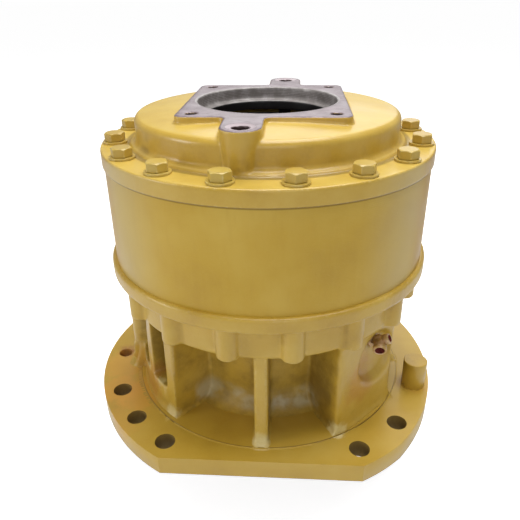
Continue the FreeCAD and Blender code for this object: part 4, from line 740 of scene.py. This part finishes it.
# %% [markdown]
# ## Castings with soft corners
# A drawn solid has knife edges where a rib meets the flange. Sand casting rounds every one of them.
# Bevels fail on such crossing walls, so the casting is wrapped again in small even cells, smoothed a
# little, and thinned out where it is flat. The even cells also make it easy to measure, at each
# vertex, how sharply the surface bends outwards and how much sky it sees. Those two numbers go into
# the mesh as `edge` and `shelter`, and steer wear, and dirt with painted shade, in the paint.

# %% Copies of imported pieces
MERGE_GAP = 0.004 * MM


@contextmanager
def editing(mesh):
    """Opens a mesh for editing and writes it back at the end."""
    shape = bmesh.new()
    shape.from_mesh(mesh)
    yield shape
    shape.to_mesh(mesh)
    shape.free()


def merged_copy(node, name):
    """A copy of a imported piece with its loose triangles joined."""
    mesh = frame["nodes"][node].data.copy()
    mesh.name = name
    mesh.materials.clear()
    with editing(mesh) as shape:
        bmesh.ops.remove_doubles(shape, verts=shape.verts, dist=MERGE_GAP)
    return linked(name, mesh)


def keep_side(piece, height_mm, above):
    """Cuts a piece on a level plane, keeps one side of it and closes the cut."""
    with editing(piece.data) as shape:
        parts = shape.verts[:] + shape.edges[:] + shape.faces[:]
        cut = bmesh.ops.bisect_plane(
            shape, geom=parts, dist=MERGE_GAP, plane_co=(0, 0, height_mm * MM),
            plane_no=(0, 0, 1), clear_inner=above, clear_outer=not above)["geom_cut"]
        rim = [item for item in cut if isinstance(item, bmesh.types.BMEdge)]
        down = (0, 0, -1 if above else 1)
        bmesh.ops.triangle_fill(shape, use_beauty=True, edges=rim, normal=down)
        bmesh.ops.recalc_face_normals(shape, faces=shape.faces)
        open_edges = sum(1 for edge in shape.edges if not edge.is_manifold)
    print(piece.name, "cut at", height_mm, "mm, open edges:", open_edges)


def modify(piece, kind, **settings):
    """Adds a modifier and sets it up."""
    made = piece.modifiers.new(kind.lower(), kind)
    for name, value in settings.items():
        setattr(made, name, value)
    return made


def settle(piece):
    """Turns what the modifiers make into the piece's plain mesh."""
    bpy.context.view_layer.update()
    graph = bpy.context.evaluated_depsgraph_get()
    mesh = bpy.data.meshes.new_from_object(piece.evaluated_get(graph))
    mesh.name = piece.name
    piece.modifiers.clear()
    piece.data = mesh
    return mesh


# %% Edge and shelter masks
SKY_RAYS = 14
SKY_REACH = 110 * MM
RAY_START = 0.8
EDGE_SHARPNESS = 0.2
MASK_ROUNDS = 2


def vertex_table(mesh):
    """Places and normals of all vertices as arrays."""
    count = len(mesh.vertices)
    places = np.empty(count * 3, np.float32)
    mesh.vertices.foreach_get("co", places)
    normals = np.empty(count * 3, np.float32)
    mesh.vertex_normals.foreach_get("vector", normals)
    return places.reshape(-1, 3).astype(float), normals.reshape(-1, 3).astype(float)


def move_vertices(mesh, places):
    """Puts the vertices at new places."""
    mesh.vertices.foreach_set("co", places.astype(np.float32).ravel())
    mesh.update()


class Neighbours:
    """Which vertices share an edge, for means over a vertex's surroundings."""

    def __init__(self, mesh):
        pairs = np.empty(len(mesh.edges) * 2, np.int32)
        mesh.edges.foreach_get("vertices", pairs)
        self.pairs = pairs.reshape(-1, 2)
        self.counts = np.maximum(np.bincount(pairs, minlength=len(mesh.vertices)), 1)

    def mean(self, values):
        """The mean of the neighbours' values."""
        first, second = self.pairs.T
        columns = values.reshape(len(self.counts), -1).T
        size = len(self.counts)
        sums = [np.bincount(first, column[second], size)
                + np.bincount(second, column[first], size) for column in columns]
        return (np.stack(sums, 1) / self.counts[:, None]).reshape(values.shape)

    def spread(self, values, rounds):
        """The values, evened out among neighbours."""
        for _ in range(rounds):
            values = 0.5 * values + 0.5 * self.mean(values)
        return values


def bend_outwards(mesh, near):
    """How sharply the surface bends outwards at each vertex, from 0 on flats to 1 on edges."""
    places, normals = vertex_table(mesh)
    first, second = near.pairs.T
    step = np.linalg.norm(places[first] - places[second], axis=1).mean()
    bend = np.einsum("ij,ij->i", places - near.mean(places), normals) / step
    return np.clip(near.spread(bend, MASK_ROUNDS) / EDGE_SHARPNESS, 0, 1)


def sky_fan(count):
    """Evenly spread directions over the half sphere round +Z."""
    turns = np.arange(count) * math.pi * (3 - math.sqrt(5))
    rise = np.sqrt((np.arange(count) + 0.5) / count)
    flat = np.sqrt(1 - rise ** 2)
    return np.stack([flat * np.cos(turns), flat * np.sin(turns), rise], 1)


def sheltered(mesh, near, walls):
    """The share of short rays from each vertex that meet the piece again, from 0 to 1."""
    places, normals = vertex_table(mesh)
    upright = np.abs(normals[:, 2:3]) > 0.9
    side = np.cross(normals, np.where(upright, [[1.0, 0, 0]], [[0, 0, 1.0]]))
    side /= np.maximum(np.linalg.norm(side, axis=1, keepdims=True), 1e-9)
    other = np.cross(normals, side)
    starts = [Vector(place) for place in places + normals * RAY_START * MM]
    hits = np.zeros(len(places))
    for along in sky_fan(SKY_RAYS):
        rays_out = (along[0] * side + along[1] * other + along[2] * normals).tolist()
        hits += [walls.ray_cast(start, ray, SKY_REACH)[0] is not None
                 for start, ray in zip(starts, rays_out)]
    return near.spread(hits / SKY_RAYS, MASK_ROUNDS)


def keep_mask(mesh, name, values):
    """Stores one number for each vertex in the mesh."""
    layer = mesh.attributes.get(name) or mesh.attributes.new(name, "FLOAT", "POINT")
    layer.data.foreach_set("value", np.asarray(values, np.float32))


# %% Wrapping a casting
def dress(piece, body, material, slot, *nodes):
    """Gives a finished piece its finish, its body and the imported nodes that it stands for."""
    piece.data.materials.clear()
    piece.data.materials.append(MATERIALS[material])
    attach(piece, body)
    if nodes:
        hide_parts(*nodes)


def wrapped(piece, cell_mm, smooth, share, reshape=None):
    """Wraps a casting in even cells, softens its corners, measures its masks and thins it out."""
    modify(piece, "REMESH", mode="VOXEL", voxel_size=cell_mm * MM)
    modify(piece, "SMOOTH", factor=0.5, iterations=smooth)
    dense = settle(piece)
    if reshape:
        reshape(dense)
    bend = bend_outwards(dense, Neighbours(dense))
    places, _ = vertex_table(dense)
    lookup = KDTree(len(places))
    for index, place in enumerate(places.tolist()):
        lookup.insert(place, index)
    lookup.balance()
    modify(piece, "DECIMATE", ratio=share)
    mesh = settle(piece)
    keep_mask(mesh, "edge", [bend[lookup.find(vertex.co)[1]] for vertex in mesh.vertices])
    walls = BVHTree.FromObject(piece, bpy.context.evaluated_depsgraph_get())
    keep_mask(mesh, "shelter", sheltered(mesh, Neighbours(mesh), walls))
    _, normals = vertex_table(mesh)
    keep_mask(mesh, "up", np.clip(normals[:, 2], 0, 1))
    mesh.shade_smooth()
    print(piece.name, "has", len(mesh.polygons), "faces, from", len(dense.polygons), "cells")
    return mesh


# %% [markdown]
# ## The lower housing and the cover
# The housing is one casting, but only its upper part kept the skin of the mould: the flange was
# turned and drilled, so its rim, its holes and the step of the bolt seat are crisp. It is made of
# two pieces for that reason. The cast part reaches a little way into the flange, and there its skin
# is drawn in by 0.6 millimetres so that the crisp flange is what shows.

# %% Cast pieces
SEAT_RADIUS = 210 * MM
SEAT_HEIGHT = 28.0 * MM
CAST_HEIGHT = 29.5 * MM
DRAW_IN = 0.6 * MM
FADE = 1.5 * MM


def drawn_in(mesh):
    """Sinks the wrapped skin below the flange's crisp faces."""
    places, normals = vertex_table(mesh)
    radius = np.hypot(places[:, 0], places[:, 1])
    level = np.where(radius < SEAT_RADIUS, CAST_HEIGHT, SEAT_HEIGHT)
    share = np.clip((level + FADE - places[:, 2]) / FADE, 0, 1)
    places -= normals * (DRAW_IN * share * share * (3 - 2 * share))[:, None]
    move_vertices(mesh, places)


# Each wall at the foot: from and to in degrees, radius, height up to which it is trimmed, flare.
FOOT_SECTORS = (
    (-79.0, -36.6, 200.5, 90.0, 4.0),
    (-106.0, -79.0, 218.0, 46.0, 4.0),
    (19.0, 73.0, 208.6, 44.0, 0.6),
)
# The drain block: its direction, its trimmed sector, its flat face, flare and height.
BLOCK_TURN = math.radians(46.5)
BLOCK_SECTOR = (24.0, 70.0)
BLOCK_FACE = 200.3
BLOCK_FLARE = 5.0
BLOCK_TOP = 52.0
# The trimming starts just above the seat of the flange.
TRIM_HEIGHT = 28.3
TRIM_STEP = 0.4
TOP_STEP = 5.0
# The drain block is also softened: sector, inner radius, heights, strength and rounds.
SOFT_SECTOR = (24.0, 72.0)
SOFT_RADIUS = 150 * MM
SOFT_HEIGHTS = (34.0, 166.0)
SOFT_STRENGTH = 0.8
SOFT_ROUNDS = 26


def rise(value, start, step):
    """From 0 at the start to 1 a step further on; a negative step goes down."""
    return np.clip((value - start) / step, 0, 1)


def between(angle, sector, step):
    """1 between two directions, falling to 0 within a step of each."""
    start, end = sector
    return np.clip(np.minimum(angle - start, end - angle) / step, 0, 1)


def hand_fettled(mesh):
    """Trims the toes of the left walls to a short flare and softens the block on the right."""
    places, _ = vertex_table(mesh)
    radius = np.hypot(places[:, 0], places[:, 1])
    height = places[:, 2] / MM
    # The direction round the axis, 0 in front and positive to the right.
    angle = np.degrees(np.arctan2(places[:, 0], -places[:, 1]))
    above_seat = rise(height, TRIM_HEIGHT, TRIM_STEP)
    flare = rise(height, 42, -12) ** 2
    for start, end, wall, top, toe in FOOT_SECTORS:
        fade = between(angle, (start, end), 1.2) * rise(height, top, -TOP_STEP) * above_seat
        limit = (wall + toe * flare) * MM
        kept = np.where(radius > limit, limit * fade + radius * (1 - fade), radius)
        places[:, :2] *= (kept / radius)[:, None]
        radius = kept
    # The drain block has a flat face, so its toe is trimmed along the face's direction.
    out = np.array((math.sin(BLOCK_TURN), -math.cos(BLOCK_TURN)))
    reach = places[:, :2] @ out
    toe = BLOCK_FACE * MM + BLOCK_FLARE * MM * rise(height, 44, -14) ** 2
    fade = between(angle, BLOCK_SECTOR, 1) * rise(height, BLOCK_TOP, -TOP_STEP) * above_seat
    places[:, :2] -= (np.maximum(reach - toe, 0) * fade)[:, None] * out
    near = Neighbours(mesh)
    low_end, high_end = SOFT_HEIGHTS
    weight = between(angle, SOFT_SECTOR, 6) * (radius > SOFT_RADIUS)
    weight *= rise(height, low_end, 8) * rise(height, high_end, -6) * SOFT_STRENGTH
    for _ in range(SOFT_ROUNDS):
        places += weight[:, None] * (near.mean(places) - places)
    move_vertices(mesh, places)


CAST_FROM = 20.0
housing = merged_copy("lower_housing", "housing_casting")
keep_side(housing, CAST_FROM, above=True)
drawn_in(wrapped(housing, 2.4, 4, 0.36, hand_fettled))
dress(housing, "casing", "housing_paint", "yellow_paint", "lower_housing")

cover = merged_copy("top_cover", "cover_casting")
wrapped(cover, 1.7, 2, 0.36)
dress(cover, "casing", "cover_paint", "yellow_paint", "top_cover")

# %% [markdown]
# ## Crisp pieces
# Turned and milled pieces keep their sharp shape, but a real edge is never a knife edge. A narrow
# bevel catches the light along it. The bevel's own faces get a second finish, where the paint is
# thin and rubbed.

# %% Bevelled pieces
def bevelled(piece, width_mm, material, slot, node, edge="edge_paint"):
    """Gives a piece of the casing a narrow bevel along its sharp edges, with its own finish."""
    dress(piece, "casing", material, slot, node)
    piece.data.materials.append(MATERIALS[edge])
    modify(piece, "BEVEL", width=width_mm * MM, segments=2, limit_method="ANGLE",
           angle_limit=math.radians(40), material=1, harden_normals=True)
    mesh = settle(piece)
    print(piece.name, "has", len(mesh.polygons), "faces")
    return mesh


def ring_block(name, inner_mm, outer_mm, low_mm, high_mm, start, end, steps=60):
    """A piece of a square ring round the axis, between two directions."""
    rows = []
    for step in range(steps + 1):
        turn = math.radians(start + (end - start) * step / steps)
        ahead = Vector((math.sin(turn), -math.cos(turn), 0))
        rows.append([ahead * across * MM + Vector((0, 0, up * MM)) for across, up in (
            (inner_mm, low_mm), (outer_mm, low_mm), (outer_mm, high_mm), (inner_mm, high_mm))])
    faces = [(0, 1, 2, 3), tuple(4 * steps + corner for corner in (3, 2, 1, 0))]
    for row in range(0, 4 * steps, 4):
        for corner in range(4):
            after = (corner + 1) % 4
            faces.append((row + after, row + corner, row + 4 + corner, row + 4 + after))
    mesh = bpy.data.meshes.new(name)
    mesh.from_pydata([corner for row in rows for corner in row], [], faces)
    with editing(mesh) as shape:
        bmesh.ops.recalc_face_normals(shape, faces=shape.faces)
    return linked(name, mesh)


FLANGE_TO = 29.45
# The seat is cut free again below the trimmed toes: inner and outer radius, heights, sectors.
SEAT_CUT = (210, 245, 28.0, 31.0)
SEAT_SECTORS = ((-106, -36.6), (25, 69))
HOLE_REACH = 14 + 1.6

flange = merged_copy("lower_housing", "housing_flange")
keep_side(flange, FLANGE_TO, above=False)
for sector in SEAT_SECTORS:
    cutter = ring_block("seat_cutter", *SEAT_CUT, *sector)
    modify(flange, "BOOLEAN", operation="DIFFERENCE", solver="EXACT", object=cutter)
    settle(flange)
    bpy.data.objects.remove(cutter)


def hole_walls(mesh):
    """Marks the faces inside the mounting holes, from the bolt patterns that the record gives."""
    centres = []
    for mount in frame["record"]["mounts"]:
        if not mount["name"].startswith("flange"):
            continue
        across = mount["dims"].get("spacing_x_mm", 0) * MM / 2
        along = mount["dims"]["spacing_y_mm"] * MM / 2
        centres += [(mount["pos_m"][0] + side * across, end * along)
                    for side in (-1, 1) for end in (-1, 1)]
    marks = []
    for face in mesh.polygons:
        gaps = [math.hypot(face.center.x - x, face.center.y - y) for x, y in centres]
        marks.append(float(abs(face.normal.z) < 0.9 and min(gaps) < HOLE_REACH * MM))
    layer = mesh.attributes.new("hole_wall", "FLOAT", "FACE")
    layer.data.foreach_set("value", marks)
    print("hole walls:", int(sum(marks)), "faces")


hole_walls(bevelled(
    flange, 0.8, "flange_paint", "yellow_paint", "lower_housing", edge="flange_paint"))
bevelled(merged_copy("locating_post", "post"), 0.8, "post_paint", "yellow_paint", "locating_post")
bevelled(merged_copy("drain_adapter", "adapter_rounded"), 0.3, "brass_fitting", "bronze",
         "drain_adapter", edge="brass_fitting")

# %% [markdown]
# ## The drain tee
# The tee in the recess is a small casting with two open arms. The larger arm points at the viewer
# and a little down, the smaller one up and to the right. Each arm is a turned profile with a bead at
# its mouth, and the inside gets a painted shade.

# %% Drain tee
FACE_NORMAL = Vector((math.sin(BLOCK_TURN), -math.cos(BLOCK_TURN), 0))
FACE_SIDE = Vector((math.cos(BLOCK_TURN), math.sin(BLOCK_TURN), 0))
TEE_CENTRE = (FACE_NORMAL * 200 + FACE_SIDE * 21.5 + Vector((0, 0, 147))) * MM
TEE_STEPS = 32
# Each body: its direction, and its distance, radius and 1 for the painted shade inside, ring by ring.
TEE_BODIES = (
    (FACE_NORMAL, (
        (-13, 5.5, 0), (-7, 5.5, 0), (-5, 8.6, 0), (3, 8.8, 0), (6.5, 7.2, 0), (8.2, 3.5, 0))),
    (Vector((-0.10, -0.95, -0.28)), (
        (-4, 6.0, 0), (0, 8.7, 0), (12, 8.7, 0), (12.6, 9.5, 0), (16.4, 9.5, 0), (17, 9.0, 0),
        (17.2, 6.6, 0), (16.6, 6.0, 1), (6, 5.6, 1))),
    (Vector((0.78, -0.30, 0.50)), (
        (-4, 4.0, 0), (0, 6.2, 0), (7, 6.2, 0), (7.5, 7.4, 0), (14.5, 7.4, 0), (15.2, 6.8, 0),
        (15.3, 4.9, 0), (14.8, 4.4, 1), (9, 4.2, 1))),
)


def turned(shape, along, profile):
    """Adds one turned body of the tee."""
    upright = Vector((0, 0, 1)).rotation_difference(along.normalized()).to_matrix()
    rows = []
    for distance, reach, _ in profile:
        turns = [math.tau * step / TEE_STEPS for step in range(TEE_STEPS)]
        rows.append([shape.verts.new(TEE_CENTRE + upright @ Vector((
            reach * MM * math.cos(turn), reach * MM * math.sin(turn), distance * MM)))
            for turn in turns])
    for lower, upper, (_, _, dark) in zip(rows, rows[1:], profile[1:]):
        for step in range(TEE_STEPS):
            after = (step + 1) % TEE_STEPS
            face = shape.faces.new((lower[step], lower[after], upper[after], upper[step]))
            face.material_index = dark
            face.smooth = True
    shape.faces.new(list(reversed(rows[0])))
    shape.faces.new(rows[-1]).material_index = profile[-1][2]


def drain_tee():
    """The tee with its two open arms and the stem into the adapter."""
    mesh = bpy.data.meshes.new("drain_tee")
    with editing(mesh) as shape:
        for along, profile in TEE_BODIES:
            turned(shape, along, profile)
    made = linked("drain_tee", mesh)
    dark = [face.material_index for face in mesh.polygons]
    dress(made, "casing", "brass_fitting", "bronze", "drain_elbow", "drain_nipple")
    mesh.materials.append(MATERIALS["fitting_hole"])
    mesh.polygons.foreach_set("material_index", dark)
    print("drain tee has", len(mesh.polygons), "faces")


drain_tee()

# %% [markdown]
# ## Cover bolts by geometry nodes
# Sixteen bolts hold the cover. One bolt and one washer are drawn as rings of points: the crown of
# the head is a cone that meets the six flats in curves, as on a real forged bolt. A node tree then
# puts the copies round the circle. A spanner leaves each head at another angle, so the tree turns
# each copy by chance, with a fixed seed, and gives it a number that shifts the tone of its paint.

# %% One bolt and one washer
STEPS = 48
SHARP_ANGLE = math.radians(26)
TURNS = np.arange(STEPS) * math.tau / STEPS
BOLT_FLATS = 24.0
HEAD_HEIGHT = 11.0
CROWN_SLOPE = math.radians(30)
SHANK_RADIUS = 8.0
SHANK_LENGTH = 189.8
WASHER_BORE = 9.0
WASHER_RADIUS = 16.0
WASHER_HEIGHT = 3.0


def ring_mesh(name, rings, looped):
    """A closed piece through rings of (radius, height, edge) triples, one for each step round."""
    count = len(rings)
    faces = []
    for level in range(count if looped else count - 1):
        after = (level + 1) % count
        for step in range(STEPS):
            beside = (step + 1) % STEPS
            faces.append((level * STEPS + step, level * STEPS + beside,
                          after * STEPS + beside, after * STEPS + step))
    if not looped:
        faces.append(tuple(reversed(range(STEPS))))
        faces.append(tuple(range((count - 1) * STEPS, count * STEPS)))
    mesh = bpy.data.meshes.new(name)
    table = np.array(rings, float)
    reach, height, edge = np.moveaxis(table, -1, 0)
    points = np.stack([reach * np.cos(TURNS), reach * np.sin(TURNS), height], -1)
    mesh.from_pydata((points * MM).reshape(-1, 3).tolist(), [], faces)
    keep_mask(mesh, "edge", edge.ravel())
    mesh.shade_smooth()
    mesh.set_sharp_from_angle(angle=SHARP_ANGLE)
    return linked(name, mesh)


def bolt():
    """A hexagon bolt with its seat at height 0."""
    from_flat = (TURNS + math.pi / 6) % (math.pi / 3) - math.pi / 6
    flat = BOLT_FLATS / 2
    hexagon = np.minimum(flat / np.cos(from_flat), flat * 1.13)
    corner = 0.8 * (np.abs(np.degrees(from_flat)) > 27)
    crown = flat * 0.95
    meet = HEAD_HEIGHT - (hexagon - crown) * math.tan(CROWN_SLOPE)
    # Reach, height and share of edge wear, ring by ring from the shank's end to the crown.
    rings = (
        (SHANK_RADIUS - 1, -SHANK_LENGTH, 0), (SHANK_RADIUS, -SHANK_LENGTH + 1, 0),
        (SHANK_RADIUS, 0, 0), (crown, 0, 0), (crown, 0.5, 0), (hexagon - 0.3, 0.6, 0),
        (hexagon, 1.0, corner), (hexagon, meet - 0.5, corner), (hexagon - 0.3, meet, 0.9),
        (hexagon - 0.9, meet + 0.3, 0.3), (crown, HEAD_HEIGHT - 0.1, 0.6),
        (crown - 0.5, HEAD_HEIGHT, 0.5), (crown - 1.5, HEAD_HEIGHT, 0), (3, HEAD_HEIGHT, 0),
    )
    rings = [np.stack(np.broadcast_arrays(*ring, TURNS)[:3], 1) for ring in rings]
    return ring_mesh("one_bolt", rings, False)


def washer():
    """A flat washer with its lower face at height 0."""
    bore, rim, top = WASHER_BORE, WASHER_RADIUS, WASHER_HEIGHT
    profile = (
        (bore, 0.3, 0), (bore + 0.3, 0, 0), (rim - 0.4, 0, 0), (rim, 0.4, 0.3),
        (rim, top - 0.4, 0.7), (rim - 0.3, top, 0.7), (rim - 1.2, top, 0), (bore + 0.3, top, 0),
        (bore, top - 0.3, 0))
    return ring_mesh("one_washer", [[ring] * STEPS for ring in profile], True)


# %% The node tree that places copies round a circle
def value_socket(sockets, name):
    """The socket of that name that takes or gives a number."""
    return next(one for one in sockets if one.name == name and one.type == "VALUE")


def copies_round():
    """The tree, and the identifier of each input by its name."""
    tree = bpy.data.node_groups.new("copies_round", "GeometryNodeTree")
    inputs = {}
    for label, kind in (("Geometry", "Geometry"), ("Piece", "Object"), ("Count", "Int"),
                        ("Circle radius", "Float"), ("First angle", "Float"), ("Height", "Float"),
                        ("Chance turn", "Float"), ("Seed", "Int"), ("Finish", "Material")):
        socket = tree.interface.new_socket(label, in_out="INPUT", socket_type="NodeSocket" + kind)
        inputs[label] = socket.identifier
    tree.interface.new_socket("Geometry", in_out="OUTPUT", socket_type="NodeSocketGeometry")
    entry = tree.nodes.new("NodeGroupInput").outputs
    circle = add(tree, "GeometryNodeMeshCircle", {
        "Vertices": entry["Count"], "Radius": entry["Circle radius"]})
    lift = add(tree, "ShaderNodeCombineXYZ", {"Z": entry["Height"]}).outputs[0]
    first = add(tree, "ShaderNodeCombineXYZ", {"Z": entry["First angle"]}).outputs[0]
    points = add(tree, "GeometryNodeTransform", {
        "Geometry": circle.outputs["Mesh"], "Translation": lift,
        "Rotation": first}).outputs["Geometry"]
    chance = add(tree, "FunctionNodeRandomValue", data_type="FLOAT")
    feed(tree, chance.inputs["Seed"], entry["Seed"])
    feed(tree, value_socket(chance.inputs, "Min"), times(tree, entry["Chance turn"], -1.0))
    feed(tree, value_socket(chance.inputs, "Max"), entry["Chance turn"])
    turn = calc(tree, "ADD", value_socket(chance.outputs, "Value"), entry["First angle"])
    whole = calc(tree, "DIVIDE", math.tau, entry["Count"])
    index = tree.nodes.new("GeometryNodeInputIndex").outputs[0]
    angle = calc(tree, "ADD", times(tree, index, whole), turn)
    rotation = add(tree, "FunctionNodeAxisAngleToRotation", {
        "Axis": (0, 0, 1), "Angle": angle}).outputs[0]
    piece = add(tree, "GeometryNodeObjectInfo", {"Object": entry["Piece"]}).outputs["Geometry"]
    copies = add(tree, "GeometryNodeInstanceOnPoints", {
        "Points": points, "Instance": piece, "Rotation": rotation}).outputs["Instances"]
    tone = add(tree, "FunctionNodeRandomValue", data_type="FLOAT")
    marked = add(tree, "GeometryNodeStoreNamedAttribute", {"Geometry": copies, "Name": "tone"},
                 data_type="FLOAT", domain="INSTANCE")
    feed(tree, value_socket(marked.inputs, "Value"), value_socket(tone.outputs, "Value"))
    real = add(tree, "GeometryNodeRealizeInstances", {"Geometry": marked.outputs["Geometry"]})
    finish = add(tree, "GeometryNodeSetMaterial", {
        "Geometry": real.outputs["Geometry"], "Material": entry["Finish"]})
    feed(tree, tree.nodes.new("NodeGroupOutput").inputs["Geometry"], finish.outputs["Geometry"])
    return tree, inputs


COPIES, COPIES_INPUTS = copies_round()
BOLT_COUNT = 16
BOLT_CIRCLE = 206.0 * MM
FIRST_BOLT = math.radians(11.25)
CHANCE_TURN = 3.1
SEAT = 399.8


def placed_round(piece, name, node, height_mm, seed):
    """Puts copies of a piece round the bolt circle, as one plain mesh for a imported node."""
    made = linked(name, bpy.data.meshes.new(name))
    copies = modify(made, "NODES", node_group=COPIES)
    for label, value in {
        "Piece": piece, "Finish": MATERIALS["bolt_paint"], "Count": BOLT_COUNT,
        "Circle radius": BOLT_CIRCLE, "First angle": FIRST_BOLT, "Height": height_mm * MM,
        "Chance turn": CHANCE_TURN, "Seed": seed,
    }.items():
        copies[COPIES_INPUTS[label]] = value
    mesh = settle(made)
    bpy.data.objects.remove(piece)
    dress(made, "casing", "bolt_paint", "yellow_paint", node)
    print(name, "has", len(mesh.polygons), "faces,", "tone" in mesh.attributes)


placed_round(washer(), "cover_washer_set", "cover_washers", SEAT, 3)
placed_round(bolt(), "cover_bolt_set", "cover_bolts", SEAT + WASHER_HEIGHT, 11)

# %% [markdown]
# ## What stays as it is packed
# The ring gear and the pieces inside already have their true shape. Each gets the finish of what it
# is made of.

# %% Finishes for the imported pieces
FINISH_OF_SLOT = {
    "yellow_paint": "band_paint", "machined_steel": "ground_steel", "gear_steel": "gear_steel",
    "cast_inner": "cast_carrier", "bronze": "bronze", "rubber": "rubber",
}
slots = {part["node"]: part["material_slot"] for part in frame["record"]["subparts"]}
for node, packed in frame["nodes"].items():
    if packed.hide_render:
        continue
    chosen = MATERIALS[FINISH_OF_SLOT[slots[node]]]
    if not packed.data.materials:
        packed.data.materials.append(chosen)
    for place in packed.material_slots:
        place.material = chosen
print("finished", len(frame["nodes"]), "packed pieces")
